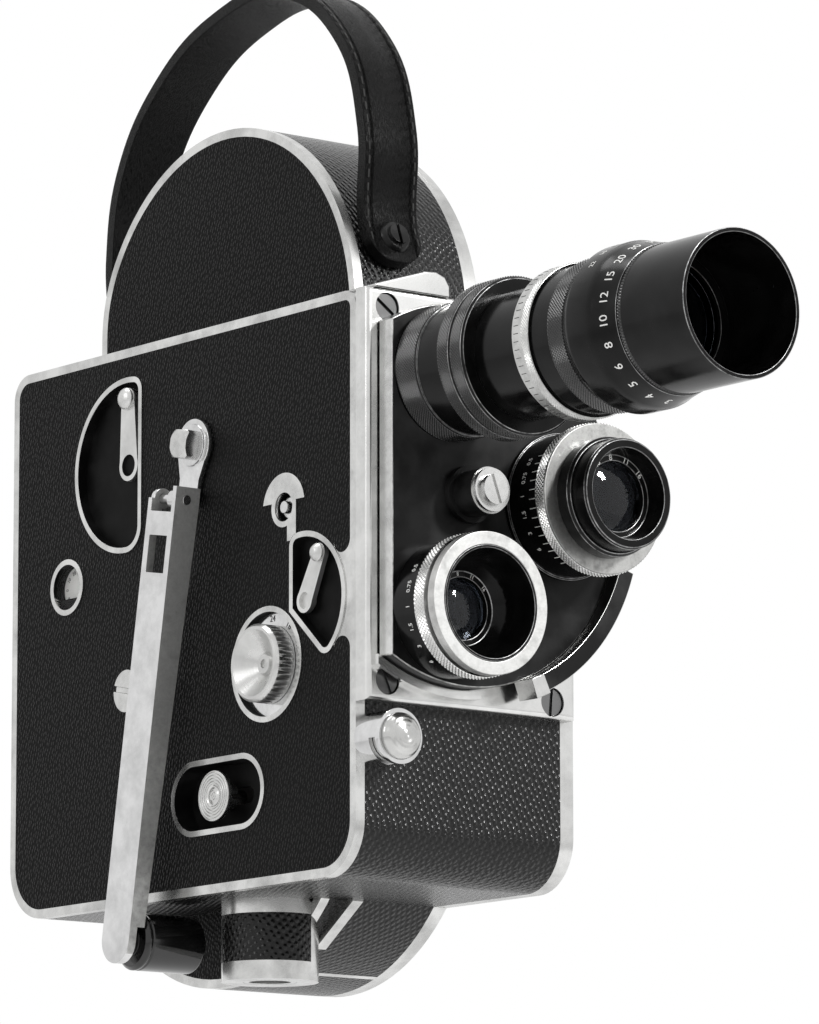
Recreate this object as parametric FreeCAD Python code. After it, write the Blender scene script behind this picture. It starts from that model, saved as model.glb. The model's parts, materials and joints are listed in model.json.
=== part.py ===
import FreeCAD, Part
import math
import os

V = FreeCAD.Vector

# Spring-wound 16 mm movie camera with a three-lens turret.
# Millimetres. The origin is the mouth of the tripod thread, +Z is up, the
# lenses look along -Y, the winding side faces -X and the film door faces +X.

# body box
body_width = 62.0
body_length = 135.0
body_height = 131.2
mech_x = -21.5
front_y = -60.5
base_z = 18.5
wall = 3.0
skin = 0.8
rim_face = 2.1
cover_t = 2.5
rim_wrap = 1.3
corner_front_top = 4.0
corner_rear_top = 6.0
corner_front_low = 12.0
corner_rear_low = 13.0

# film chamber and its domes
spool_r = 46.0
spool_gap = 2.2
spool_shift = 1.2
dome_step = 25.5
spool_rear_gap = 0.9
dome_blend_r = 35.0
dome_lift = 0.8
spool_apart = 8.3
chamber_wall_t = 2.5
door_t = 2.5
door_lip = 1.5
door_travel = 45.0
lock_r = 9.0
lock_apart = 30.0

# spools and film drive
spool_width = 18.0
spool_x = 18.3
spool_core_r = 16.0
flange_t = 1.0
spindle_r = 3.9
sprocket_r = 9.7
sprocket_ahead = 21.55
sprocket_drop = 18.7
sprocket_teeth = 8
film_width = 16.0
gate_half = 17.0
shutter_x = 10.0
shutter_r = 25.6
light_r = 5.6
run_gap = 0.05

# drum of the spring motor
barrel_r = 36.0
barrel_rim_r = 38.5
barrel_back = 54.5
barrel_up = 51.5

# tripod boss
boss_r = 11.2
thread_r = 4.7625
thread_depth = 12.0
bush_r = 6.2
band_depth = 0.5

# winding crank
hub_y = -0.8
hub_down = 27.3
crank_lean = 9.9
hinge_drop = 12.9
grip_gap = 2.3
eye_r = 6.2
eye_t = 1.3
collar_r = 4.9
collar_t = 0.55
crank_t = 2.1
crank_w = 10.7
flange_t = 1.4
flange_clear = 0.1
flange_lead = 3.0
flange_low = 4.1
crank_axis_out = 5.5
knuckle_r = 2.4
neck_half = 3.7
pin_r = 1.15
grip_r = 6.7
grip_len = 19.4
shaft_r = 4.0
nut_w = 6.2
nut_l = 6.6
nut_t = 3.6

# side controls
counter_back = 22.9
counter_down = 53.7
counter_r = 6.7
clutch_back = 46.8
clutch_down = 27.7
clutch_r = 20.8
clutch_flat = 6.2
fan_y = -41.0
fan_up = 62.7
fan_r = 16.0
dial_y = -27.6
dial_up = 50.1
dial_r = 13.2
knob_r = 8.9
knob_h = 4.0
knob_notches = 36
dial_sunk = 1.9
slot_y = -9.0
slot_up = 22.2
slot_half = 17.9
slot_r = 8.7
button_r = 5.8
button_shift = 1.5
socket_y = -34.2
socket_up = 85.1
socket_r = 4.6
guard_r = 7.8
screw_back = 49.8
screw_up = 49.7
screw_r = 5.0
ring_w = 1.3
lever_sunk = 2.2
slot_sunk = 5.0
counter_sunk = 3.8
well_floor = 1.2
ring_proud = 0.3

# front plate and turret
plate_t = 4.3
plate_up = 38.1
plate_side = 2.6
turret_x = 2.6
turret_rise = 0.85
turret_rim = 3.3
turret_flat = 21.2
turret_t = 4.8
turret_gap = 0.4
lens_circle = 27.3
lens_angle = 101.5
port_r = 12.7
stud_r = 5.3
stud_out = 8.0
cap_r = 4.9
cap_t = 2.4
release_x = -15.7
release_drop = 8.2
release_r = 6.2
release_wall = 1.0
release_out = 8.5
release_travel = 3.0

# carrying strap
strap_x = 15.5
strap_w = 15.5
strap_t = 3.0
strap_gap = 0.3
strap_screw_deg = 160.0
strap_rear_up = 10.9

# derived places
lid_x = mech_x + body_width
rear_y = front_y + body_length
top_z = base_z + body_height
dome_x = mech_x + dome_step
dome_r = spool_r + spool_gap + wall + skin
dome_y = rear_y - wall - skin - spool_rear_gap - spool_r + spool_shift
dome_low_z = dome_r + dome_lift
dome_top_z = dome_low_z + 2 * spool_r + spool_apart
lock_mid_z = (dome_low_z + dome_top_z) / 2
strap_rear_z = dome_top_z + strap_rear_up
plate_low_z = base_z + plate_up
release_z = plate_low_z - release_drop
turret_z = (top_z + plate_low_z) / 2 + turret_rise
turret_r = lens_circle + port_r + turret_rim
hub_z = top_z - hub_down
clutch_y = rear_y - clutch_back
clutch_z = top_z - clutch_down
counter_y = rear_y - counter_back
counter_z = top_z - counter_down
screw_y = rear_y - screw_back
screw_z = base_z + screw_up
fan_z = base_z + fan_up
dial_z = base_z + dial_up
slot_z = base_z + slot_up
socket_z = base_z + socket_up
in_r = dome_r - skin - wall
chamber_x = dome_x + chamber_wall_t
door_x = lid_x - door_t
turret_back = front_y - plate_t - turret_gap
turret_face = turret_back - turret_t
lean = math.radians(crank_lean)
dir_y = math.sin(lean)
dir_z = -math.cos(lean)
crank_reach = (hub_z - base_z + grip_r + grip_gap) / math.cos(lean)
hinge_y = hub_y + hinge_drop * dir_y
hinge_z = hub_z + hinge_drop * dir_z
hinge_x = mech_x - crank_axis_out
film_x = spool_x + spool_width / 2
spool_y = dome_y - spool_shift
sprocket_y = (front_y + wall + skin + spool_y) / 2 - sprocket_ahead
sprocket_rise = top_z - turret_z - sprocket_drop
barrel_y = rear_y - barrel_back
barrel_z = base_z + barrel_up
lens_x = turret_x + lens_circle
lever_floor = mech_x + lever_sunk
slot_floor = mech_x + slot_sunk
counter_floor = mech_x + counter_sunk
button_y = slot_y + button_shift
path_r = dome_r + strap_gap + strap_t / 2


# Small shape helpers
def box(x0, x1, y0, y1, z0, z1):
    return Part.makeBox(x1 - x0, y1 - y0, z1 - z0, V(x0, y0, z0))


def rod_x(x0, x1, y, z, r):
    return Part.makeCylinder(r, x1 - x0, V(x0, y, z), V(1, 0, 0))


def rod_y(y0, y1, x, z, r):
    return Part.makeCylinder(r, y1 - y0, V(x, y0, z), V(0, 1, 0))


def rod_z(z0, z1, x, y, r):
    return Part.makeCylinder(r, z1 - z0, V(x, y, z0), V(0, 0, 1))


def fuse(first, *rest):
    return first.fuse(list(rest)).removeSplitter()


def turned_y(x, z, profile):
    """Solid of revolution about the line along Y through (x, z)."""
    points = [V(x + r, y, z) for y, r in profile]
    face = Part.Face(Part.makePolygon(points + [points[0]]))
    return face.revolve(V(x, 0, z), V(0, 1, 0), 360)


def turned_x(y, z, profile):
    """Solid of revolution about the line along X through (y, z)."""
    points = [V(x, y + r, z) for x, r in profile]
    face = Part.Face(Part.makePolygon(points + [points[0]]))
    return face.revolve(V(0, y, z), V(1, 0, 0), 360)


def prism_x(x0, x1, points):
    """Straight-sided prism along X from (y, z) points."""
    ring = [V(x0, y, z) for y, z in points]
    face = Part.Face(Part.makePolygon(ring + [ring[0]]))
    return face.extrude(V(x1 - x0, 0, 0))


def prism_y(y0, y1, points):
    """Straight-sided prism along Y from (x, z) points."""
    ring = [V(x, y0, z) for x, z in points]
    face = Part.Face(Part.makePolygon(ring + [ring[0]]))
    return face.extrude(V(0, y1 - y0, 0))


def round_plate(x0, x1, y0, y1, z0, z1, radii):
    """Plate across X whose corners are rounded: front low, rear low, rear top, front top."""
    solid = box(x0, x1, y0, y1, z0, z1)
    corners = [(y0, z0, 1, 1), (y1, z0, -1, 1), (y1, z1, -1, -1), (y0, z1, 1, -1)]
    for (y, z, sy, sz), r in zip(corners, radii):
        if r <= 0.05:
            continue
        block = box(x0 - 1, x1 + 1, min(y - sy, y + sy * r), max(y - sy, y + sy * r),
                    min(z - sz, z + sz * r), max(z - sz, z + sz * r))
        block = block.cut(rod_x(x0 - 2, x1 + 2, y + sy * r, z + sz * r, r))
        solid = solid.cut(block)
    return solid


def slot_prism(x0, x1, y, z, half, r):
    """Round-ended slot along Y, half long from its middle and r high."""
    mid = box(x0, x1, y - half + r, y + half - r, z - r, z + r)
    return fuse(mid, rod_x(x0, x1, y - half + r, z, r), rod_x(x0, x1, y + half - r, z, r))


def slotted_head_x(x0, x1, y, z, r, turn=45):
    """Screw head along X with a driver slot in its -X face."""
    slot = box(x0 - 1, x0 + 0.35 * (x1 - x0), y - 2 * r, y + 2 * r, z - 0.13 * r, z + 0.13 * r)
    slot.rotate(V(0, y, z), V(1, 0, 0), turn)
    return rod_x(x0, x1, y, z, r).cut(slot)


def slotted_head_y(y0, y1, x, z, r, turn=45):
    """Screw head along Y with a driver slot in its -Y face."""
    slot = box(x - 2 * r, x + 2 * r, y0 - 1, y0 + 0.35 * (y1 - y0), z - 0.13 * r, z + 0.13 * r)
    slot.rotate(V(x, 0, z), V(0, 1, 0), turn)
    return rod_y(y0, y1, x, z, r).cut(slot)


def rounded_near(solid, corners):
    """Rounds the edges along X that lie nearest to the given (y, z, radius) corners."""
    for y, z, r in corners:
        along_x = [e for e in solid.Edges if len(e.Vertexes) == 2
                   and abs(e.Vertexes[0].X - e.Vertexes[1].X) > 0.9 * e.Length]
        edge = min(along_x, key=lambda e: math.hypot(e.Vertexes[0].Y - y, e.Vertexes[0].Z - z))
        solid = solid.makeFillet(r, [edge])
    return solid


# Body outline
def box_part(x0, x1, inset):
    radii = [corner_front_low, corner_rear_low, corner_rear_top, corner_front_top]
    return round_plate(x0, x1, front_y + inset, rear_y - inset, base_z + inset, top_z - inset,
                       [max(r - inset, 0) for r in radii])


def dome_part(x0, x1, inset, side):
    """One spool dome: a large arc that blends into the flat rear. side is +1 top, -1 bottom."""
    zc = dome_top_z if side > 0 else dome_low_z
    blend_y = rear_y - dome_blend_r
    reach = dome_r - dome_blend_r
    rise = math.sqrt(reach ** 2 - (blend_y - dome_y) ** 2)
    big = dome_r - inset
    small = dome_blend_r - inset
    uy, uz = (blend_y - dome_y) / reach, rise / reach
    foot = 30.0
    a = V(x0, dome_y - big, zc - side * foot)
    b = V(x0, dome_y - big, zc)
    top = V(x0, dome_y, zc + side * big)
    c = V(x0, dome_y + big * uy, zc + side * big * uz)
    half = math.atan2(uz, uy) / 2
    m = V(x0, blend_y + small * math.cos(half), zc + side * (rise + small * math.sin(half)))
    d = V(x0, rear_y - inset, zc + side * rise)
    e = V(x0, rear_y - inset, zc - side * foot)
    edges = [Part.LineSegment(a, b).toShape(), Part.Arc(b, top, c).toShape(),
             Part.Arc(c, m, d).toShape(), Part.LineSegment(d, e).toShape(),
             Part.LineSegment(e, a).toShape()]
    return Part.Face(Part.Wire(edges)).extrude(V(x1 - x0, 0, 0))


def full_part(x0, x1, inset):
    return fuse(box_part(x0, x1, inset), dome_part(x0, x1, inset, 1), dome_part(x0, x1, inset, -1))


# Recesses in the winding side
def clutch_prism(x0, x1, inset):
    """D-shaped recess of the motor lever, with rounded corners at its flat side."""
    disc = rod_x(x0, x1, clutch_y, clutch_z, clutch_r - inset)
    flat = clutch_y - clutch_flat + inset
    field = disc.common(box(x0, x1, flat, clutch_y + clutch_r + 1, clutch_z - 30, clutch_z + 30))
    reach = math.sqrt((clutch_r - inset) ** 2 - (clutch_flat - inset) ** 2)
    return rounded_near(field, [(flat, clutch_z + reach, 3.5 - inset), (flat, clutch_z - reach, 6.0 - inset)])


def fan_prism(x0, x1, inset):
    """Fan-shaped recess swept by the small lever about its pivot."""
    disc = rod_x(x0, x1, fan_y, fan_z, fan_r - inset)
    rear = fan_y + 4.8
    low = box(x0 - 1, x1 + 1, -60, 60, -60, inset)
    low.rotate(V(0, 0, 0), V(1, 0, 0), 42)
    low.translate(V(0, rear, fan_z - 1.7))
    field = disc.common(box(x0, x1, fan_y - 30, rear - inset, fan_z - 30, fan_z + 30)).cut(low)
    reach = fan_r - inset
    crest = fan_z + math.sqrt(reach ** 2 - (rear - inset - fan_y) ** 2)
    slope = math.radians(42)
    start_y = rear - fan_y - inset * math.sin(slope)
    start_z = inset * math.cos(slope) - 1.7
    half = start_y * math.cos(slope) + start_z * math.sin(slope)
    run = half + math.sqrt(half ** 2 + reach ** 2 - start_y ** 2 - start_z ** 2)
    tip_y = fan_y + start_y - run * math.cos(slope)
    tip_z = fan_z + start_z - run * math.sin(slope)
    return rounded_near(field, [(tip_y, tip_z, 3.2 - inset), (rear - inset, crest, 3.0 - inset)])


def fan_web():
    """Web between the fan's ring and the front band, hollowed by a fillet above and below."""
    hollow = 3.0
    band = front_y + rim_face
    y = band + hollow
    rise = math.sqrt((fan_r + hollow) ** 2 - (y - fan_y) ** 2)
    touch = fan_y + (y - fan_y) * fan_r / (fan_r + hollow)
    web = box(mech_x, mech_x + cover_t, band - 0.4, touch + 0.6, fan_z - rise, fan_z + rise)
    for z in (fan_z - rise, fan_z + rise):
        web = web.cut(rod_x(mech_x - 1, mech_x + cover_t + 1, y, z, hollow))
    return web


def oval_prism(x0, x1, inset):
    return slot_prism(x0, x1, slot_y, slot_z, slot_half - inset, slot_r - inset)


def dial_prism(x0, x1, inset):
    return rod_x(x0, x1, dial_y, dial_z, dial_r - inset)


def counter_prism(x0, x1, inset):
    return rod_x(x0, x1, counter_y, counter_z, counter_r - inset)


def socket_prism(x0, x1, inset):
    return rod_x(x0, x1, socket_y, socket_z, socket_r - inset)


wells = [(clutch_prism, lever_sunk), (fan_prism, lever_sunk), (oval_prism, slot_sunk),
         (counter_prism, counter_sunk), (dial_prism, dial_sunk)]


def rewind_guard(x0, x1):
    """Half-moon plate over the rewind shaft and the strip that runs down to the fan recess."""
    moon = rod_x(x0, x1, socket_y, socket_z, guard_r)
    moon = moon.common(box(x0, x1, socket_y - 9, socket_y + 9, socket_z + 1.2, socket_z + 9))
    collar = rod_x(x0, x1, socket_y, socket_z, socket_r)
    strip = box(x0, x1, socket_y - socket_r, socket_y - 1.3, fan_z + 14.4, socket_z + 1.5)
    return fuse(moon, collar, strip)


def lever_pivots():
    return [(clutch_y - 0.8, clutch_z - 0.2), (fan_y - 0.6, fan_z + 0.2)]


def make_side_cover():
    """Cover of the spring motor: a plate with sunk cups for the controls."""
    out = mech_x - ring_proud
    back = mech_x + cover_t
    cover = box_part(mech_x, back, 0)
    cover = cover.cut(box_part(mech_x - 1, mech_x + skin, rim_face))
    room = box_part(mech_x + 1, dome_x, wall + skin + 0.1)
    cups = [well(mech_x + 1, mech_x + sunk + well_floor, 0).common(room) for well, sunk in wells]
    rings = [well(out, back, 0) for well, sunk in wells]
    cover = fuse(cover, fan_web(), *(cups + rings))
    for well, sunk in wells:
        cover = cover.cut(well(out - 1, mech_x + sunk, ring_w))
    ledge = counter_prism(mech_x + 1.4, counter_floor - 0.95, ring_w)
    cover = fuse(cover, ledge.common(box(mech_x, 0, 0, rear_y, 0, counter_z - 2.5)))
    cover = cover.cut(rod_x(mech_x - 1, back + 1, hub_y, hub_z, shaft_r + run_gap))
    cover = cover.cut(rod_x(mech_x - 1, back + 9, dial_y, dial_z, 2.5 + run_gap))
    cover = cover.cut(rod_x(mech_x - 1, back + 1, socket_y, socket_z, 2.4 + run_gap))
    cover = cover.cut(rod_x(mech_x - 1, mech_x + 1.9, socket_y, socket_z, socket_r - ring_w))
    cover = cover.cut(rod_x(mech_x - 1, back + 1, screw_y, screw_z, 2.0))
    for y, z in lever_pivots():
        cover = cover.cut(rod_x(mech_x - 1, mech_x + 9, y, z, 1.6 + run_gap))
    cover = cover.cut(rod_x(mech_x - 1, mech_x + 9, counter_y, counter_z, 1.2 + run_gap))
    return cover.cut(slot_prism(mech_x - 1, mech_x + 9, button_y, slot_z, 8.4, 1.9 + run_gap))


def make_side_leather():
    panel = box_part(mech_x, mech_x + skin, rim_face)
    for well, sunk in wells:
        panel = panel.cut(well(mech_x - 1, mech_x + 2, 0))
    panel = panel.cut(fan_web())
    panel = panel.cut(rewind_guard(mech_x - 1, mech_x + 2))
    panel = panel.cut(rod_x(mech_x - 1, mech_x + 2, hub_y, hub_z, shaft_r + 0.6))
    return panel.cut(rod_x(mech_x - 1, mech_x + 2, screw_y, screw_z, 2.4))


# Body casting
def skin_zone(inset):
    """Stretch of the outer wall that is dressed in leatherette."""
    first = box_part(mech_x + cover_t, dome_x + cover_t, inset)
    return fuse(first, full_part(dome_x + cover_t, door_x - rim_wrap, inset))


def front_pad():
    return box(mech_x + cover_t, door_x, front_y, front_y + 5, plate_low_z, top_z - corner_front_top)


def boss_solid():
    return rod_z(0, base_z + 3, 0, 0, boss_r)


def boss_band():
    """Recess round the free side of the boss, dressed in leatherette."""
    ring = rod_z(4.2, base_z - 3.4, 0, 0, boss_r).cut(rod_z(0, base_z, 0, 0, boss_r - band_depth))
    return ring.cut(box(dome_x - 0.1, 30, -30, 30, -1, base_z))


def boss_web():
    """Cast web in the corner between the tripod boss, the box and the low dome."""
    points = [(-18.2, base_z + 2), (-4.0, base_z + 2), (-4.0, base_z - 10.5), (-18.2, base_z - 0.6)]
    return prism_x(dome_x + 6, dome_x + 9, points)


def dome_trim():
    """Narrow metal strip across the low dome behind the boss."""
    return box(dome_x + cover_t, door_x - rim_wrap, 7.4, 8.8, 1.0, 7.0)


def make_body_shell():
    """Casting: box, two spool domes, wall between the works and the film, tripod boss."""
    near = box_part(mech_x + cover_t, dome_x, skin)
    film = full_part(dome_x, door_x, skin)
    rims = fuse(dome_part(dome_x, dome_x + cover_t, 0, 1), dome_part(dome_x, dome_x + cover_t, 0, -1))
    lid_rim = full_part(door_x - rim_wrap, door_x, 0)
    trim = dome_trim().common(full_part(dome_x, door_x, 0))
    body = fuse(near, film, rims, lid_rim, trim, front_pad(), boss_solid(), boss_web())
    for face in dome_faces():
        body = body.cut(face)
    body = body.cut(box_part(mech_x, dome_x, wall + skin))
    body = body.cut(full_part(chamber_x, door_x + 1, wall + skin))
    body = body.cut(boss_band())
    body = body.cut(rod_z(-1, thread_depth, 0, 0, bush_r))
    body = body.cut(rod_y(front_y - 1, front_y + 9, lens_x, turret_z, light_r))
    for zc in (dome_top_z, dome_low_z):
        body = body.cut(rod_x(spindle_start(zc) - 0.1, chamber_x + 1, spool_y, zc, 3.0 + run_gap))
    for z in sprocket_heights():
        body = body.cut(rod_x(dome_x - 1, chamber_x + 1, sprocket_y, z, 3.0 + run_gap))
    body = body.cut(rod_y(front_y - 1, front_y + 9, release_x, release_z, 2.2 + run_gap))
    body = body.cut(rod_y(front_y - 1, front_y + 9, shutter_x, turret_z, 2.0 + run_gap))
    for place, way in strap_screw_places():
        body = body.cut(Part.makeCylinder(1.6, 8.0, place - way * 5.0, way))
    return body


def dome_faces():
    """Sunk fields on the winding-side faces of the two domes."""
    out = []
    for side in (1, -1):
        face = dome_part(dome_x - 0.01, dome_x + skin, rim_face, side)
        out.append(face.cut(box_part(dome_x - 2, dome_x + 2, 0)).cut(boss_solid()))
    return out


def make_wall_leather():
    leather = skin_zone(0).cut(skin_zone(skin)).cut(front_pad()).cut(boss_solid()).cut(boss_web())
    for side in (1, -1):
        leather = leather.cut(dome_part(dome_x - 0.01, dome_x + cover_t, 0, side))
    leather = leather.cut(dome_trim())
    leather = leather.cut(rod_y(front_y - 1, front_y + 2, release_x, release_z, release_r))
    leather = leather.cut(box(mech_x, lid_x, front_y - 1, front_y + 2, plate_low_z, top_z))
    for place, way in strap_screw_places():
        leather = leather.cut(Part.makeCylinder(1.6, 8.0, place - way * 5.0, way))
    faces = [part for field in dome_faces() for part in field.cut(box(-99, dome_x, -99, 99, -9, 299)).Solids]
    return Part.makeCompound(leather.Solids + faces)


def make_tripod_bush():
    bush = rod_z(0, thread_depth, 0, 0, bush_r)
    return bush.cut(rod_z(-1, thread_depth - 1.5, 0, 0, thread_r))


def sprocket_heights():
    return (turret_z + sprocket_rise, turret_z - sprocket_rise)


# Film door
lock_places = [(dome_y, lock_mid_z + lock_apart / 2), (dome_y, lock_mid_z - lock_apart / 2)]


def make_film_door():
    door = full_part(door_x, lid_x, 0)
    door = door.cut(full_part(lid_x - skin, lid_x + 1, rim_face))
    lip = full_part(door_x - door_lip, door_x, wall + skin + 0.15)
    lip = lip.cut(full_part(door_x - door_lip - 1, door_x + 1, wall + skin + 1.4))
    door = fuse(door, lip)
    for y, z in lock_places:
        door = fuse(door, rod_x(lid_x - skin, lid_x, y, z, lock_r + 1.5))
        door = door.cut(rod_x(lid_x - skin, lid_x + 1, y, z, lock_r + 0.2))
        door = door.cut(rod_x(door_x - 1, lid_x + 1, y, z, 2.5 + run_gap))
    return door


def make_door_leather():
    panel = full_part(lid_x - skin, lid_x, rim_face)
    for y, z in lock_places:
        panel = panel.cut(rod_x(lid_x - 2, lid_x + 2, y, z, lock_r + 1.5))
    return panel


def make_door_lock(y, z):
    """Round lock plate with a thumb bar; its shaft turns a tongue inside the door."""
    disc = rod_x(lid_x - skin + 0.1, lid_x + 0.8, y, z, lock_r)
    bar = slot_prism(lid_x + 0.8, lid_x + 4.0, y, z, lock_r - 0.8, 1.8)
    shaft = rod_x(door_x - 1.4, lid_x, y, z, 2.5)
    tongue = box(door_x - 1.4, door_x - 0.2, y - 3.0, y + 7.0, z - 2.5, z + 2.5)
    return fuse(disc, bar, shaft, tongue)


# Spools and film drive
def make_spool(zc):
    x1 = spool_x + spool_width
    spool = fuse(rod_x(spool_x, spool_x + flange_t, spool_y, zc, spool_r),
                 rod_x(x1 - flange_t, x1, spool_y, zc, spool_r),
                 rod_x(spool_x, x1, spool_y, zc, spool_core_r))
    for i in range(3):
        t = math.radians(90 + 120 * i)
        y, z = spool_y + 31 * math.cos(t), zc + 31 * math.sin(t)
        spool = spool.cut(rod_x(spool_x - 1, x1 + 1, y, z, 9.0))
    return spool.cut(rod_x(spool_x - 1, x1 + 1, spool_y, zc, spindle_r))


def spindle_start(zc):
    """The upper spindle ends blind in the wall; the lower one runs on into the works."""
    return dome_x + skin + 0.7 if zc > top_z else dome_x - 1.5


def make_spindle(zc):
    return fuse(rod_x(spindle_start(zc), chamber_x + 0.5, spool_y, zc, 3.0),
                rod_x(chamber_x + 0.1, spool_x, spool_y, zc, 8.0),
                rod_x(spool_x, spool_x + spool_width - 0.5, spool_y, zc, spindle_r))


def make_sprocket(side):
    """Toothed film sprocket: two toothed rims, a waist between them and the drive shaft."""
    z = turret_z + side * sprocket_rise
    x0, x1 = film_x - film_width / 2, film_x + film_width / 2
    profile = [(x0, 0), (x0, sprocket_r), (x0 + 3.2, sprocket_r), (x0 + 3.2, sprocket_r - 2.2),
               (x1 - 3.2, sprocket_r - 2.2), (x1 - 3.2, sprocket_r), (x1, sprocket_r), (x1, 0)]
    body = turned_x(sprocket_y, z, profile)
    teeth = []
    for x in (x0 + 1.8, x1 - 1.8):
        for i in range(sprocket_teeth):
            tooth = prism_x(x - 0.6, x + 0.6, [(-0.6, sprocket_r - 0.6), (0.6, sprocket_r - 0.6),
                                               (0.3, sprocket_r + 1.1), (-0.3, sprocket_r + 1.1)])
            tooth.rotate(V(0, 0, 0), V(1, 0, 0), 360.0 * i / sprocket_teeth)
            tooth.translate(V(0, sprocket_y, z))
            teeth.append(tooth)
    shaft = rod_x(dome_x - 1.5, x0, sprocket_y, z, 3.0)
    return fuse(body, shaft, *teeth)


def make_film_shoes():
    """Two curved guide shoes that keep the film on the sprockets, each on its post."""
    shoes = []
    x0, x1 = film_x - 5.5, film_x + 5.5
    for side in (1, -1):
        z = turret_z + side * sprocket_rise
        ring = rod_x(x0, x1, sprocket_y, z, sprocket_r + 4.2)
        ring = ring.cut(rod_x(x0 - 1, x1 + 1, sprocket_y, z, sprocket_r + 1.9))
        lo, hi = (z + 5.0, z + 20) if side > 0 else (z - 20, z - 5.0)
        ring = ring.common(box(x0, x1, sprocket_y - 9, sprocket_y + 9, lo, hi))
        post = rod_x(chamber_x, x1, sprocket_y, z + side * (sprocket_r + 3.0), 1.6)
        shoes.append(fuse(ring, post))
    return Part.makeCompound([part for shoe in shoes for part in shoe.Solids])


def inner_front():
    return front_y + wall + skin


def make_film_gate():
    """Fixed gate plate with its picture window, side rails and mounting foot."""
    y0 = inner_front()
    x0, x1 = film_x - film_width / 2 - 1, film_x + film_width / 2 + 1
    gate = box(x0, x1, y0, y0 + 2.4, turret_z - gate_half, turret_z + gate_half)
    gate = fuse(gate, box(chamber_x, x0, y0, y0 + 2.4, turret_z - 6, turret_z + 6))
    gate = gate.cut(box(lens_x - 4.8, lens_x + 4.8, y0 - 1, y0 + 4, turret_z - 3.7, turret_z + 3.7))
    gate = gate.cut(rod_y(y0 - 1, y0 + 4, shutter_x, turret_z, 2.0 + run_gap))
    rails = [box(x, x + 1.6, y0 + 2.4, y0 + 3.0, turret_z - gate_half, turret_z + gate_half)
             for x in (x0, x1 - 1.6)]
    return fuse(gate, *rails)


def make_pressure_plate():
    """Sprung plate that holds the film flat; it slides back on its stem to load film."""
    y0 = inner_front() + 3.2
    half = gate_half - 5
    plate = box(film_x - 6.5, film_x + 6.5, y0, y0 + 1.8, turret_z - half, turret_z + half)
    stem = rod_y(y0 + 1.8, y0 + 7.0, film_x, turret_z, 2.5)
    bridge = box(chamber_x + 0.2, film_x + 2.5, y0 + 5.0, y0 + 7.0, turret_z - 2.5, turret_z + 2.5)
    return fuse(plate, stem, bridge)


def make_claw():
    """Film claw that pulls the film down one frame beside the picture window."""
    y0 = inner_front() + 2.4
    x1 = film_x - film_width / 2 - 1.3
    arm = box(x1 - 2.4, x1, y0 + 0.5, y0 + 3.0, turret_z + 0.2, turret_z + 9.0)
    slide = box(chamber_x + 0.2, x1, y0 + 0.5, y0 + 3.0, turret_z + 6.8, turret_z + 9.0)
    return fuse(arm, slide)


def make_shutter():
    """Open-sector disc that spins between the turret and the gate on the drive shaft."""
    y0 = front_y - 2.1
    disc = rod_y(y0, y0 + 1.0, shutter_x, turret_z, shutter_r)
    sector = box(shutter_x, shutter_x + 2 * shutter_r, y0 - 1, y0 + 2, turret_z, turret_z + 2 * shutter_r)
    hub = rod_y(y0, y0 + 1.0, shutter_x, turret_z, 5.0)
    shaft = rod_y(y0 + 1.0, inner_front() + 2.2, shutter_x, turret_z, 2.0)
    return fuse(disc.cut(sector), hub, shaft)


def make_spring_barrel():
    """Drum of the spring motor, with its toothed rim left plain."""
    profile = [(mech_x + 9.0, 0), (mech_x + 9.0, barrel_r), (mech_x + 21.0, barrel_r),
               (mech_x + 21.0, barrel_rim_r), (mech_x + 23.5, barrel_rim_r), (mech_x + 23.5, 0)]
    barrel = turned_x(barrel_y, barrel_z, profile)
    return fuse(barrel, rod_x(mech_x + 23.5, dome_x, barrel_y, barrel_z, 5.0))


# Winding crank
def along(s, w=0.0):
    """Point on the side: s along the folded crank from the hub, w across it."""
    return hub_y + s * dir_y + w * -dir_z, hub_z + s * dir_z + w * dir_y


def bar_on_crank(x0, x1, s0, s1, w0, w1):
    ring = [along(s0, w0), along(s1, w0), along(s1, w1), along(s0, w1)]
    return prism_x(x0, x1, ring)


def hinge_rod(w0, w1, r):
    y0, z0 = along(hinge_drop, w0)
    return Part.makeCylinder(r, w1 - w0, V(hinge_x, y0, z0), V(0, -dir_z, dir_y))


def hub_face():
    """Outer face of the eye plate, on which the nut's collar and the neck are built."""
    return mech_x - 0.4 - eye_t


def make_winding_hub():
    """Winding shaft with its pear-shaped eye plate, a collar and one rolled knuckle."""
    face = hub_face()
    shaft = rod_x(face, dome_x - 1.0, hub_y, hub_z, shaft_r)
    eye = rod_x(face, mech_x - 0.4, hub_y, hub_z, eye_r)
    swing = hinge_drop - math.hypot(face - hinge_x, flange_lead) - flange_clear
    sides = [along(0.5, -eye_r + 0.1), along(swing, -neck_half), along(hinge_drop + 1.0, -neck_half),
             along(hinge_drop + 1.0, neck_half), along(swing, neck_half), along(0.5, eye_r - 0.1)]
    neck = prism_x(face, mech_x - 0.4, sides)
    collar = rod_x(face - collar_t, face, hub_y, hub_z, collar_r)
    w0, w1 = -neck_half, -0.7
    lug = bar_on_crank(hinge_x, face + 0.2, hinge_drop - knuckle_r, hinge_drop + 1.0, w0, w1)
    knuckle = hinge_rod(w0, w1, knuckle_r)
    hub = fuse(shaft, eye, neck, collar, lug, knuckle)
    return hub.cut(hinge_rod(-8, 8, pin_r + run_gap))


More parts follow.
